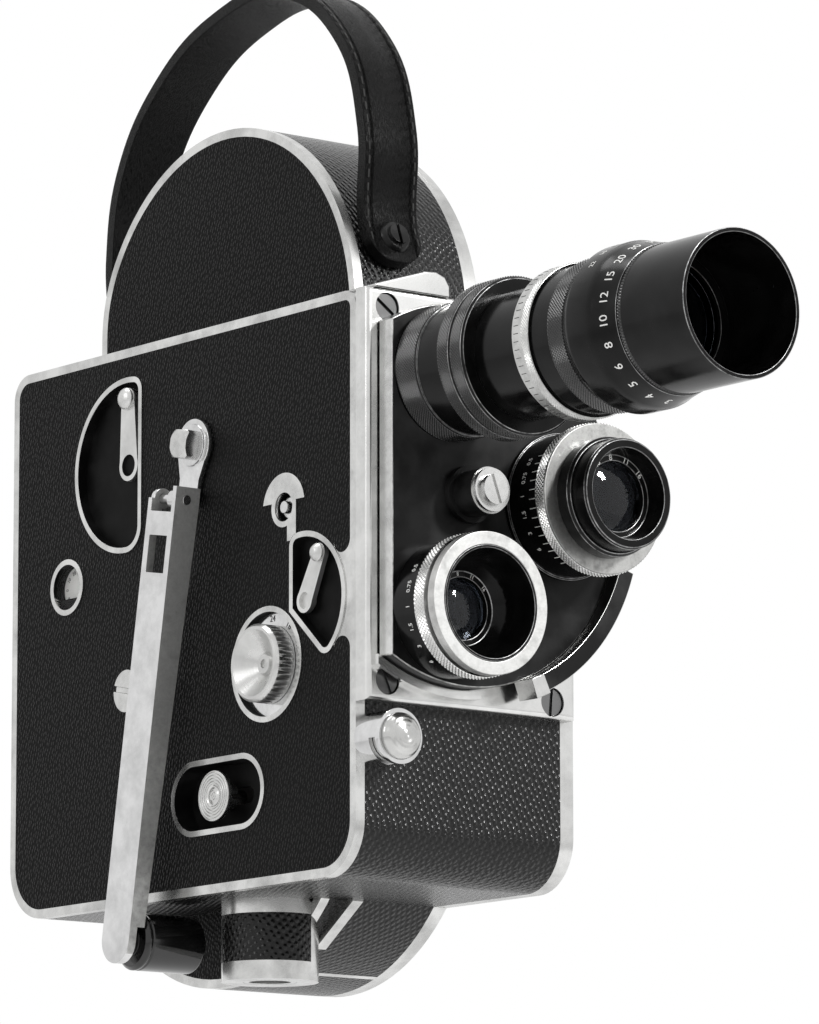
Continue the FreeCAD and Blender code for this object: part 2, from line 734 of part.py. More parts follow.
def make_crank_nut():
    """Nut with rounded shoulders on the shaft end that the crank's window drops over."""
    x1 = hub_face() - collar_t
    nut = bar_on_crank(x1 - nut_t, x1, -nut_l / 2, nut_l / 2, -nut_w / 2, nut_w / 2)
    turned = rod_x(x1 - nut_t, x1, hub_y, hub_z, 0.62 * nut_l)
    crown = turned_x(hub_y, hub_z, [(x1, 0), (x1, 4.6), (x1 - nut_t + 1.0, 4.6), (x1 - nut_t, 3.2), (x1 - nut_t, 0)])
    return nut.common(turned).common(crown)


def crank_flange(w0, w1, s0, s1):
    """Side flange of the crank, deep at the hinge and shallower towards the grip."""
    x0 = crank_face()
    x1 = hub_face() - flange_clear
    ring = [(x0, s0), (x0, s1), (x0 + flange_low, s1), (x1, s0 + 6.0), (x1, s0)]
    points = [V(x, *along(s, w0)) for x, s in ring]
    face = Part.Face(Part.makePolygon(points + [points[0]]))
    return face.extrude(V(0, -dir_z * (w1 - w0), dir_y * (w1 - w0)))


def crank_face():
    return hinge_x - crank_t - 1.0


def make_crank_arm():
    """Folding crank: a pressed bar with one deep flange, a window and two hinge ears."""
    x0 = crank_face()
    x1 = x0 + crank_t
    half = crank_w / 2
    start = hinge_drop + 3.0
    plate = bar_on_crank(x0, x1, start, crank_reach, -half, half)
    flange = crank_flange(-half, -half + flange_t, hinge_drop - flange_lead, crank_reach - 3.5)
    y, z = along(crank_reach)
    end = rod_x(x0, x1, y, z, half)
    root = bar_on_crank(x0, hinge_x, hinge_drop, start + 0.5, half - flange_t, half)
    ear = hinge_rod(half - flange_t, half, knuckle_r)
    s0 = 2 * hinge_drop - 4.3
    window = bar_on_crank(x0 - 1, x1 + 1, s0, s0 + 8.6, -nut_w / 2 - 0.35, nut_w / 2 + 0.35)
    arm = fuse(plate, flange, end, root, ear).cut(window)
    stud = rod_x(x1, x1 + grip_len + 0.3, y, z, 2.2)
    return fuse(arm, stud).cut(hinge_rod(-8, 8, pin_r))


def make_crank_grip():
    """Moulded grip with a slim neck behind the bar and one turned groove."""
    x0 = crank_face() + crank_t + 0.2
    x1 = x0 + grip_len
    y, z = along(crank_reach)
    bore = 2.2 + run_gap
    profile = [(x0, bore), (x0, 3.4), (x0 + 2.1, 3.4), (x0 + 2.1, grip_r - 0.9), (x0 + 2.9, grip_r),
               (x0 + 3.6, grip_r), (x0 + 3.9, grip_r - 0.3), (x0 + 4.2, grip_r), (x1 - 1.2, grip_r),
               (x1, grip_r - 1.2), (x1, bore)]
    return turned_x(y, z, profile)


# Side controls
def make_speed_knob():
    """Knob with a deep dished face and a knurled wall; its shaft runs into the governor."""
    out = mech_x - knob_h
    foot = mech_x + dial_sunk - 0.7
    profile = [(mech_x + 8, 0), (mech_x + 8, 2.5), (foot, 2.5), (foot, knob_r), (out + 0.8, knob_r),
               (out, knob_r - 0.6), (out, knob_r - 1.3), (mech_x - 0.3, 2.5), (mech_x - 1.1, 2.2),
               (mech_x - 1.1, 1.0), (mech_x - 0.6, 1.0), (mech_x - 0.6, 0)]
    knob = turned_x(dial_y, dial_z, profile)
    notches = []
    for i in range(knob_notches):
        t = 2 * math.pi * i / knob_notches
        notch = box(out + 0.8, foot - 0.6, -0.35, 0.35, -0.3, 0.3)
        notch.rotate(V(0, 0, 0), V(1, 0, 0), math.degrees(t) + 45)
        notch.translate(V(0, dial_y + knob_r * math.cos(t), dial_z + knob_r * math.sin(t)))
        notches.append(notch)
    return knob.cut(Part.makeCompound(notches))


def make_speed_ring():
    """Scale plate on the floor of the dial's recess."""
    floor = mech_x + dial_sunk
    plate = rod_x(floor - 0.6, floor, dial_y, dial_z, dial_r - ring_w - 0.1)
    return plate.cut(rod_x(floor - 2, floor + 1, dial_y, dial_z, 2.5 + run_gap))


def make_side_release():
    """Turned button on a slider that runs along the oval recess."""
    face = mech_x - 0.3
    profile = [(slot_floor + 3.0, 0), (slot_floor + 3.0, 1.9), (slot_floor - 0.3, 1.9), (slot_floor - 0.3, 3.4),
               (face + 1.5, 3.4), (face + 1.2, button_r), (face, button_r), (face, 2.6), (face + 0.25, 2.4),
               (face + 0.25, 1.7), (face, 1.5), (face, 0)]
    return turned_x(button_y, slot_z, profile)


def lever_plate(pivot, length, turn, hub_r, tip_r, knob_r):
    """Flat tapered lever with a domed knob at its tip and a post through the cup's floor."""
    x0, x1 = mech_x - 0.1, mech_x + 1.1
    sides = [(-hub_r * 0.97, 0), (hub_r * 0.97, 0), (tip_r * 0.97, length), (-tip_r * 0.97, length)]
    knob = turned_x(0, length, [(x0 + 0.3, 0), (x0 + 0.3, knob_r - 0.3), (x0 - 0.7, knob_r), (x0 - 1.4, knob_r - 0.5),
                                (x0 - 1.9, knob_r * 0.45), (x0 - 2.0, 0)])
    lever = fuse(prism_x(x0, x1, sides), rod_x(x0, x1, 0, 0, hub_r), rod_x(x0, x1, 0, length, tip_r),
                 rod_x(x1, mech_x + lever_sunk + 3.0, 0, 0, 1.6), knob)
    lever = lever.cut(rod_x(x0 - 2, x0 + 0.8, 0, 0, 0.67 * hub_r))
    lever.rotate(V(0, 0, 0), V(1, 0, 0), turn)
    lever.translate(V(0, pivot[0], pivot[1]))
    return lever


def make_motor_lever():
    return lever_plate(lever_pivots()[0], 15.9, -1.8, 3.7, 2.6, 2.6)


def make_exposure_lever():
    return lever_plate(lever_pivots()[1], 11.5, 27.9, 2.8, 2.2, 2.1)


def make_rewind_plate():
    plate = rewind_guard(mech_x - 0.4, mech_x + skin).cut(fan_prism(mech_x - 2, mech_x + 2, 0))
    return plate.cut(rod_x(mech_x - 2, mech_x + 2, socket_y, socket_z, socket_r - ring_w))


def make_rewind_shaft():
    """Stub shaft with a round nose for the rewind key."""
    shaft = rod_x(mech_x + 1.2, mech_x + 8.0, socket_y, socket_z, 2.4)
    return fuse(shaft, rod_x(mech_x - 0.4, mech_x + 1.2, socket_y, socket_z, 1.4))


def make_counter_dial():
    disc = rod_x(counter_floor - 0.85, counter_floor - 0.15, counter_y, counter_z, counter_r - ring_w - 0.2)
    return fuse(disc, rod_x(counter_floor - 0.15, counter_floor + 3.5, counter_y, counter_z, 1.2))


def make_counter_window():
    return rod_x(mech_x + 0.2, mech_x + 1.0, counter_y, counter_z, counter_r - ring_w)


def make_cover_screw():
    head = slotted_head_x(mech_x - 2.0, mech_x, screw_y, screw_z, screw_r, 12)
    return fuse(head, rod_x(mech_x, mech_x + 7, screw_y, screw_z, 2.0))


# Front plate
front_screw_places = [(mech_x + 5.6, top_z - 4.3), (mech_x + 5.6, plate_low_z + 4.7),
                      (lid_x - plate_side - 6.8, plate_low_z + 3.7), (lid_x - plate_side - 6.8, top_z - 4.3)]


def arc_rib(y0, y1, r0, r1, a0, a1):
    """Part of a ring about the turret's centre between two angles in degrees."""
    ring = rod_y(y0, y1, turret_x, turret_z, r1).cut(rod_y(y0 - 1, y1 + 1, turret_x, turret_z, r0))
    reach = 3 * r1
    t0, t1 = math.radians(a0), math.radians(a1)
    wedge = [(turret_x, turret_z),
             (turret_x + reach * math.cos(t0), turret_z + reach * math.sin(t0)),
             (turret_x + reach * math.cos(t1), turret_z + reach * math.sin(t1))]
    return ring.common(prism_y(y0, y1, wedge))


def make_front_plate():
    """Front plate with rounded edges, a raised lip under the turret and the shutter recess."""
    y0 = front_y - plate_t
    plate = box(mech_x, lid_x - plate_side, y0, front_y, plate_low_z, top_z)
    rim = [e for e in plate.Edges if all(abs(v.Y - y0) < 0.01 for v in e.Vertexes)]
    plate = plate.makeFillet(1.3, rim)
    lip = arc_rib(y0 - 2.0, y0, turret_r + 0.4, turret_r + 2.3, -142, -82)
    plate = fuse(plate, lip.common(box(mech_x + 1.5, lid_x, y0 - 3, y0, 0, top_z)))
    for x, z in front_screw_places:
        plate = plate.cut(rod_y(y0 - 1, y0 + 2.6, x, z, 3.3))
    view_x, view_z = lens_axis(0)
    plate = plate.cut(rod_y(y0 - 1, front_y + 1, lens_x, turret_z, light_r))
    plate = plate.cut(rod_y(y0 - 1, front_y + 1, view_x, view_z, light_r))
    return plate.cut(rod_y(front_y - 2.3, front_y + 1, shutter_x, turret_z, shutter_r + 0.6))


def make_front_screws():
    y0 = front_y - plate_t
    return Part.makeCompound([slotted_head_y(y0 + 0.6, y0 + 2.6, x, z, 3.1, 35 + 30 * i)
                              for i, (x, z) in enumerate(front_screw_places)])


def make_focus_housing():
    """Cast housing on the box top over the focusing prism behind the upper lens."""
    y0 = front_y - plate_t
    z0 = top_z
    x0 = mech_x + 2.3
    points = [(x0, z0), (x0, z0 + 0.7), (x0 + 14.2, z0 + 5.2), (x0 + 17.2, z0 + 5.4),
              (x0 + 19.7, z0 + 4.5), (x0 + 21.0, z0 + 2.5), (x0 + 21.0, z0)]
    return prism_y(y0, dome_y - dome_r - 3.0, points)


def lens_axis(index):
    t = math.radians((lens_angle, 0.0, -lens_angle)[index])
    return turret_x + lens_circle * math.cos(t), turret_z + lens_circle * math.sin(t)


def make_turret():
    """Turret disc with one flat side, three threaded ports and a bearing bore."""
    disc = rod_y(turret_face, turret_back, turret_x, turret_z, turret_r)
    flat = box(turret_x - 60, turret_x - turret_flat, turret_face - 1, turret_back + 1, 0, 220)
    disc = disc.cut(flat)
    for i in range(3):
        x, z = lens_axis(i)
        disc = disc.cut(rod_y(turret_face - 1, turret_back + 1, x, z, port_r))
    return disc.cut(rod_y(turret_face - 1, turret_back + 1, turret_x, turret_z, stud_r + run_gap))


def make_turret_stud():
    """Fixed axle with its shoulder and slotted cap, which keep the turret on."""
    y1 = turret_face - stud_out
    post = rod_y(y1, front_y - plate_t, turret_x, turret_z, stud_r)
    shoulder = rod_y(turret_face - 1.7, turret_face - run_gap, turret_x, turret_z, stud_r + 1.2)
    base = rod_y(y1 - cap_t * 0.45, y1, turret_x, turret_z, cap_r)
    head = slotted_head_y(y1 - cap_t, y1 - cap_t * 0.45, turret_x, turret_z, cap_r * 0.7, 70)
    return fuse(post, shoulder, base, head)


def make_turret_lever():
    """Curved thumb bar along the lower rim of the turret, with its foot."""
    y0, y1 = turret_face - 3.6, turret_back - 2.2
    bar = arc_rib(y0, y1, turret_r, turret_r + 4.0, -66, -17)
    foot = arc_rib(y0 - 0.3, y1, turret_r, turret_r + 4.6, -69.5, -64.5)
    return fuse(bar, foot)


def make_release_barrel():
    y0 = front_y - release_out
    barrel = rod_y(y0, front_y + skin, release_x, release_z, release_r)
    bore = release_r - release_wall + run_gap
    barrel = barrel.cut(rod_y(y0 - 1, front_y - 1.0, release_x, release_z, bore))
    barrel = barrel.cut(box(mech_x - 9, mech_x + cover_t, front_y, rear_y, base_z, top_z))
    barrel = barrel.cut(box(release_x - 9, release_x - 0.8, y0 + 1.2, y0 + 3.4, release_z - 9, release_z - 0.6))
    return barrel.cut(rod_y(front_y - 2, front_y + 2, release_x, release_z, 2.2 + run_gap))


def make_front_release():
    """Domed push button that slides in its barrel."""
    y0 = front_y - release_out
    r = release_r - release_wall
    profile = [(y0 + 3.4, 0), (y0 + 3.4, r), (y0 - 0.8, r), (y0 - 2.0, r - 1.0), (y0 - 2.6, 2.4), (y0 - 2.8, 0)]
    cap = turned_y(release_x, release_z, profile)
    return fuse(cap, rod_y(y0 + 3.0, front_y + wall + skin + 0.5, release_x, release_z, 2.2))


# Lenses: stations run forward from the turret face
def stations(x, z, pairs):
    return turned_y(x, z, [(turret_face - out, r) for out, r in pairs])


def neck(x, z, bore):
    """Threaded neck that fills a turret port."""
    ring = rod_y(turret_face, turret_back - 0.1, x, z, port_r)
    return ring.cut(rod_y(turret_face - 1, turret_back + 1, x, z, bore))


def make_tele():
    """Long lens of the viewing position with its two rings and hood."""
    x, z = lens_axis(0)
    seat = 14.2
    barrel = stations(x, z, [(0, 10.5), (0, 15.3), (8.1, 15.3), (8.1, 15.0), (18.0, 15.0), (18.0, seat),
                             (27.5, seat), (27.5, 14.5), (43.9, 14.5), (43.9, 17.1), (49.5, 17.1), (49.5, seat),
                             (61.5, seat), (61.5, 17.3), (64.5, 18.5), (70.5, 18.5), (72.0, 18.0), (78.5, 16.6),
                             (78.5, 12.9), (74.5, 12.9), (74.5, 10.5)])
    bore = seat + run_gap
    focus = [(18.1, bore), (18.1, 17.3), (18.7, 17.8), (22.3, 17.8), (22.8, 17.3), (23.3, 17.8),
             (26.8, 17.8), (27.4, 17.3), (27.4, bore)]
    aperture = [(49.6, bore), (49.6, 16.5), (55.9, 16.5), (55.9, 17.0), (61.4, 17.0), (61.4, bore)]
    front = stations(x, z, [(74.5, 0), (74.5, 12.9), (77.5, 12.9), (79.0, 7.0), (79.5, 0)])
    rear = stations(x, z, [(0.5, 0), (0.5, 10.5), (3.0, 10.5), (3.0, 0)])
    return {"tele_barrel": fuse(barrel, neck(x, z, 10.5)),
            "tele_focus_ring": stations(x, z, focus),
            "tele_aperture_ring": stations(x, z, aperture),
            "tele_hood": stations(x, z, [(78.5, 14.9), (78.5, 16.3), (100.1, 16.3), (100.1, 15.3), (80.5, 14.9)]),
            "tele_glass": Part.makeCompound([front, rear])}


def make_normal():
    """Middle lens, in the taking position, with a broad knurled focus disc."""
    x, z = lens_axis(1)
    seat = 12.2
    barrel = stations(x, z, [(0, 8.0), (0, 16.8), (1.2, 16.8), (1.2, 16.3), (11.1, 16.3), (11.1, seat),
                             (19.0, seat), (19.0, 12.6), (23.0, 12.6), (23.5, 12.2), (23.5, 10.4), (19.0, 9.4),
                             (19.0, 8.0)])
    bore = seat + run_gap
    aperture = [(14.9, bore), (14.9, 13.6), (18.2, 13.6), (18.9, 13.0), (18.9, bore)]
    front = stations(x, z, [(16.2, 0), (16.2, 8.0), (17.6, 8.0), (18.6, 4.5), (18.9, 0)])
    rear = stations(x, z, [(0.5, 0), (0.5, 8.0), (2.5, 8.0), (2.5, 0)])
    return {"normal_barrel": fuse(barrel, neck(x, z, 8.0)),
            "normal_focus_ring": stations(x, z, [(11.2, bore), (11.2, 17.1), (14.8, 17.1), (14.8, bore)]),
            "normal_aperture_ring": stations(x, z, aperture),
            "normal_glass": Part.makeCompound([front, rear])}


def make_wide():
    """Short lens with a deep conical hood and a bright ring round its mouth."""
    x, z = lens_axis(2)
    seat = 13.0
    barrel = stations(x, z, [(0, 7.0), (0, 15.5), (7.5, 15.5), (7.5, seat), (15.3, seat), (15.3, 12.3),
                             (8.0, 11.0), (5.0, 8.4), (5.0, 7.0)])
    bore = seat + run_gap
    ring = [(7.6, bore), (7.6, 14.6), (12.8, 14.6), (12.8, 16.0), (15.2, 16.0), (15.2, bore)]
    glass = stations(x, z, [(1.2, 0), (1.2, 7.0), (3.6, 7.0), (4.8, 4.0), (5.1, 0)])
    return {"wide_barrel": fuse(barrel, neck(x, z, 7.0)), "wide_ring": stations(x, z, ring), "wide_glass": glass}


# Strap
def on_dome(degrees, r):
    t = math.radians(degrees)
    return V(strap_x, dome_y + r * math.cos(t), dome_top_z + r * math.sin(t))


def strap_screw_places():
    """Seat of each strap screw on the body and the way it points."""
    t = math.radians(strap_screw_deg)
    rear_c = V(strap_x, rear_y, strap_rear_z)
    return [(on_dome(strap_screw_deg, dome_r), V(0, math.cos(t), math.sin(t))), (rear_c, V(0, 1, 0))]


def strap_line():
    """Centre line of the strap from its front foot, over the hand loop, to the rear foot."""
    foot = [on_dome(strap_screw_deg + d, path_r) for d in (7, 1.5, -3.5)]
    loop = [(-49.0, 44.9), (-40.5, 67.4), (-17.0, 83.4), (9.0, 82.0), (32.0, 70.4), (47.6, 51.4), (52.2, 30.0)]
    rear = rear_y + strap_gap + strap_t / 2
    tail = [V(strap_x, rear, strap_rear_z + d) for d in (4.0, -2.0, -8.0)]
    return foot + [V(strap_x, dome_y + y, dome_top_z + z) for y, z in loop] + tail


def make_strap():
    """Leather carrying strap: one even band with rounded feet, screwed through at both."""
    line = Part.BSplineCurve()
    line.interpolate(strap_line())
    start = line.value(line.FirstParameter)
    d = line.tangent(line.FirstParameter)[0]
    across, up = V(strap_w / 2, 0, 0), V(0, -d.z, d.y) * (strap_t / 2)
    corners = [start - across - up, start + across - up, start + across + up, start - across + up]
    profile = Part.makePolygon(corners + [corners[0]])
    strap = Part.Wire([line.toShape()]).makePipeShell([profile], True, False)
    ends = [line.value(line.FirstParameter), line.value(line.LastParameter)]
    short = [e for e in strap.Edges if e.Length < strap_t + 0.2
             and min((e.CenterOfMass - p).Length for p in ends) < strap_w / 2 + 0.5]
    strap = strap.makeFillet(5.0, short)
    for place, way in strap_screw_places():
        strap = strap.cut(Part.makeCylinder(1.6, 12.0, place - way * 2.0, way))
    return strap


def make_strap_screws():
    """Two dark slotted screws with domed washers that hold the strap's feet."""
    screws = []
    for place, way in strap_screw_places():
        seat = place + way * (strap_gap + strap_t + 0.05)
        shank = Part.makeCylinder(1.5, wall + strap_gap + strap_t + 2.0, seat - way * (wall + strap_gap + strap_t + 1), way)
        head = Part.makeCone(4.2, 3.4, 1.1, seat, way)
        top = Part.makeCylinder(2.6, 1.9, seat, way)
        slot = Part.makeBox(0.8, 8, 2)
        slot.translate(V(-0.4, -4, -1))
        slot.Placement = FreeCAD.Placement(seat + way * 1.9, FreeCAD.Rotation(V(0, 0, 1), way)).multiply(slot.Placement)
        screws.append(fuse(head, top, shank).cut(slot))
    return Part.makeCompound([part for screw in screws for part in screw.Solids])


# All pieces
def make_all():
    body = make_body_shell()
    pieces = {
        "body_shell": body,
        "side_cover": make_side_cover(),
        "side_leather": make_side_leather(),
        "wall_leather": make_wall_leather(),
        "tripod_bush": make_tripod_bush(),
        "boss_leather": boss_band(),
        "film_door": make_film_door(),
        "door_leather": make_door_leather(),
        "upper_lock": make_door_lock(*lock_places[0]),
        "lower_lock": make_door_lock(*lock_places[1]),
        "feed_spool": make_spool(dome_top_z),
        "takeup_spool": make_spool(dome_low_z),
        "feed_spindle": make_spindle(dome_top_z),
        "takeup_spindle": make_spindle(dome_low_z),
        "feed_sprocket": make_sprocket(1),
        "takeup_sprocket": make_sprocket(-1),
        "film_shoes": make_film_shoes(),
        "film_gate": make_film_gate(),
        "pressure_plate": make_pressure_plate(),
        "claw": make_claw(),
        "shutter": make_shutter(),
        "spring_barrel": make_spring_barrel(),
        "winding_hub": make_winding_hub(),
        "crank_nut": make_crank_nut(),
        "crank_arm": make_crank_arm(),
        "crank_pin": hinge_rod(-crank_w / 2 - 0.3, crank_w / 2 + 0.3, pin_r),
        "crank_grip": make_crank_grip(),
        "speed_knob": make_speed_knob(),
        "speed_ring": make_speed_ring(),
        "side_release": make_side_release(),
        "motor_lever": make_motor_lever(),
        "exposure_lever": make_exposure_lever(),
        "rewind_plate": make_rewind_plate(),
        "rewind_shaft": make_rewind_shaft(),
        "counter_dial": make_counter_dial(),
        "counter_window": make_counter_window(),
        "cover_screw": make_cover_screw(),
        "front_plate": make_front_plate(),
        "front_screws": make_front_screws(),
        "focus_housing": make_focus_housing(),
        "turret": make_turret(),
        "turret_stud": make_turret_stud(),
        "turret_lever": make_turret_lever(),
        "release_barrel": make_release_barrel(),
        "front_release": make_front_release(),
        "strap": make_strap(),
        "strap_screws": make_strap_screws(),
    }
    for lens in (make_tele(), make_normal(), make_wide()):
        pieces.update(lens)
    return pieces


os.makedirs("parts", exist_ok=True)
for name, shape in make_all().items():
    shape.exportStep("parts/" + name + ".step")
    print(name, len(shape.Solids), shape.isValid(), round(shape.Volume), flush=True)
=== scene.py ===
import bpy
import json
import math
from mathutils import Matrix, Vector


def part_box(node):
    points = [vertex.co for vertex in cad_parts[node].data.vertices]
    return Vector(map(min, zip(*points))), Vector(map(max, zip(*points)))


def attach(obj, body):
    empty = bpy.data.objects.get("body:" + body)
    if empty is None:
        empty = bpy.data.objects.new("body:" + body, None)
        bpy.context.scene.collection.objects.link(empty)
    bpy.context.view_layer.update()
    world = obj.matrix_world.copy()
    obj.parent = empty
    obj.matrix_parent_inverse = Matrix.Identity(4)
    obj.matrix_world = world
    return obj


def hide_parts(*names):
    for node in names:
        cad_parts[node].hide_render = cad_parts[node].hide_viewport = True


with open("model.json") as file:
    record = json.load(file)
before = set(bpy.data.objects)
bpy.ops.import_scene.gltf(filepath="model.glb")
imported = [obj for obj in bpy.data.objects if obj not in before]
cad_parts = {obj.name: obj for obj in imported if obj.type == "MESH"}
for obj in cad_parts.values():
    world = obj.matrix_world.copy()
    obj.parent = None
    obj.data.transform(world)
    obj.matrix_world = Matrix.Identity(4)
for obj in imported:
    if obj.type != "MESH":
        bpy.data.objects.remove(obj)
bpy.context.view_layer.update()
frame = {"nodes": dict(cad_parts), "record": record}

# Viewpoint. The camera is seen from low down on the winding side, through a
# long lens, so that its own lenses point to the right and towards the viewer.
# The place and the turn were solved from the photograph's straight edges and arcs.
lens_view = bpy.data.cameras.new("viewpoint")
lens_view.sensor_fit = "AUTO"
lens_view.sensor_width = 36.0
lens_view.lens = 216.64
lens_view.clip_end = 20.0
viewpoint = bpy.data.objects.new("viewpoint", lens_view)
bpy.context.scene.collection.objects.link(viewpoint)
right = Vector((0.78942388, -0.61384728, -0.00120437))
up = Vector((-0.10217282, -0.13333108, 0.98579082))
ahead = Vector((0.6052856, 0.77808376, 0.16797324))
eye = (-0.840136, -1.132268, -0.130869)
aimed = Matrix((right, up, -ahead)).transposed().to_4x4()
viewpoint.matrix_world = Matrix.Translation(eye) @ aimed
bpy.context.scene.camera = viewpoint
bpy.context.scene.view_settings.view_transform = "Standard"


# Studio. A pale paper floor lies well below the raised object, under an even
# pale surround that the lens, the bright metal and the glass see as white, and
# the paper glows a little for them alone. Three soft lamps light the object.
def white_to_lens(tree, plain, seen):
    """Mix of two shaders: the second is what the lens, polished metal and glass see."""
    ray = tree.nodes.new("ShaderNodeLightPath")
    either = tree.nodes.new("ShaderNodeMath")
    either.operation = "MAXIMUM"
    tree.links.new(ray.outputs["Is Camera Ray"], either.inputs[0])
    tree.links.new(ray.outputs["Is Glossy Ray"], either.inputs[1])
    any_ray = tree.nodes.new("ShaderNodeMath")
    any_ray.operation = "MAXIMUM"
    tree.links.new(either.outputs["Value"], any_ray.inputs[0])
    tree.links.new(ray.outputs["Is Transmission Ray"], any_ray.inputs[1])
    mix = tree.nodes.new("ShaderNodeMixShader")
    tree.links.new(any_ray.outputs["Value"], mix.inputs["Fac"])
    tree.links.new(plain.outputs[0], mix.inputs[1])
    tree.links.new(seen.outputs[0], mix.inputs[2])
    return mix


floor_z = -0.42
floor_r = 6.0
bpy.ops.object.select_all(action="DESELECT")
bpy.ops.mesh.primitive_circle_add(vertices=64, radius=floor_r, fill_type="NGON",
                                  location=(0, 0, floor_z))
floor = bpy.context.active_object
floor.name = "studio_floor"
paper = bpy.data.materials.new("studio_paper")
paper.use_nodes = True
paper_tree = paper.node_tree
sheet = paper_tree.nodes["Principled BSDF"]
sheet.inputs["Base Color"].default_value = (0.93, 0.93, 0.93, 1)
sheet.inputs["Roughness"].default_value = 0.9
glow = paper_tree.nodes.new("ShaderNodeEmission")
glow.inputs["Strength"].default_value = 0.22
bright_sheet = paper_tree.nodes.new("ShaderNodeAddShader")
paper_tree.links.new(sheet.outputs["BSDF"], bright_sheet.inputs[0])
paper_tree.links.new(glow.outputs["Emission"], bright_sheet.inputs[1])
seen_sheet = white_to_lens(paper_tree, sheet, bright_sheet)
paper_tree.links.new(seen_sheet.outputs["Shader"], paper_tree.nodes["Material Output"].inputs["Surface"])
floor.data.materials.append(paper)

surround = bpy.data.worlds.new("studio_surround")
surround.use_nodes = True
sky_tree = surround.node_tree
plain_sky = sky_tree.nodes["Background"]
plain_sky.inputs["Color"].default_value = (1.0, 1.0, 1.0, 1)
plain_sky.inputs["Strength"].default_value = 0.55
white_sky = sky_tree.nodes.new("ShaderNodeBackground")
white_sky.inputs["Color"].default_value = (1.0, 1.0, 1.0, 1)
white_sky.inputs["Strength"].default_value = 1.0
sky = white_to_lens(sky_tree, plain_sky, white_sky)
sky_tree.links.new(sky.outputs["Shader"], sky_tree.nodes["World Output"].inputs["Surface"])
bpy.context.scene.world = surround


def soft_lamp(name, place, aim, size, watts):
    """A round soft lamp that looks at a point of the object."""
    lamp = bpy.data.lights.new(name, "AREA")
    lamp.shape = "DISK"
    lamp.size = size
    lamp.energy = watts
    holder = bpy.data.objects.new(name, lamp)
    bpy.context.scene.collection.objects.link(holder)
    way = Vector(place) - Vector(aim)
    holder.matrix_world = Matrix.Translation(place) @ way.to_track_quat("Z", "Y").to_matrix().to_4x4()


body_middle = (0, 0, 0.1)
soft_lamp("lamp_lens_side", (0.75, -1.5, 0.9), body_middle, size=0.24, watts=17.0)
soft_lamp("lamp_winding_side", (-1.5, 0.1, 0.75), body_middle, size=0.6, watts=3.5)
soft_lamp("lamp_above", (-0.2, 0.3, 1.5), body_middle, size=0.8, watts=7.0)


# Body casting. One light-alloy casting carries everything; its bare edges are
# satin nickel plate, a little cloudy from handling, with softly broken corners.
hairs_per_metre = 2600.0
hair_depth = 0.00004


def plated(name, colour, rough, cloud_size=0.0105, dulling=0.25, hair=0.12):
    """Plated metal; worn clouds of one size dull it, and polishing hairs give a faint relief."""
    mat = bpy.data.materials.new(name)
    mat.use_nodes = True
    tree = mat.node_tree
    shader = tree.nodes["Principled BSDF"]
    shader.inputs["Metallic"].default_value = 1.0
    place = tree.nodes.new("ShaderNodeTexCoord")
    cloud = tree.nodes.new("ShaderNodeTexNoise")
    cloud.inputs["Scale"].default_value = 1.0 / cloud_size
    cloud.inputs["Detail"].default_value = 6.0
    cloud.inputs["Roughness"].default_value = 0.65
    tree.links.new(place.outputs["Object"], cloud.inputs["Vector"])
    tone = tree.nodes.new("ShaderNodeValToRGB")
    tone.color_ramp.elements[0].position = 0.30
    tone.color_ramp.elements[0].color = [c * (1 - dulling) for c in colour] + [1]
    tone.color_ramp.elements[1].position = 0.62
    tone.color_ramp.elements[1].color = list(colour) + [1]
    tree.links.new(cloud.outputs["Fac"], tone.inputs["Fac"])
    tree.links.new(tone.outputs["Color"], shader.inputs["Base Color"])
    gloss = tree.nodes.new("ShaderNodeMapRange")
    gloss.inputs["From Min"].default_value = 0.3
    gloss.inputs["From Max"].default_value = 0.7
    gloss.inputs["To Min"].default_value = rough * 1.35
    gloss.inputs["To Max"].default_value = rough * 0.8
    tree.links.new(cloud.outputs["Fac"], gloss.inputs["Value"])
    tree.links.new(gloss.outputs["Result"], shader.inputs["Roughness"])
    hairs = tree.nodes.new("ShaderNodeTexNoise")
    hairs.inputs["Scale"].default_value = hairs_per_metre
    hairs.inputs["Detail"].default_value = 2.0
    tree.links.new(place.outputs["Object"], hairs.inputs["Vector"])
    relief = tree.nodes.new("ShaderNodeBump")
    relief.name = "relief"
    relief.inputs["Strength"].default_value = hair
    relief.inputs["Distance"].default_value = hair_depth
    tree.links.new(hairs.outputs["Fac"], relief.inputs["Height"])
    tree.links.new(relief.outputs["Normal"], shader.inputs["Normal"])
    return mat


def ride_with(piece, node):
    """A piece moves with the body that a node belongs to."""
    bodies = frame["record"]["behaviour"]["bodies"]
    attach(piece, next(body for body, members in bodies.items() if node in members))


same_point = 0.000002
flat_within = math.radians(0.12)
corner_above = math.radians(38)
smooth_below = math.radians(32)


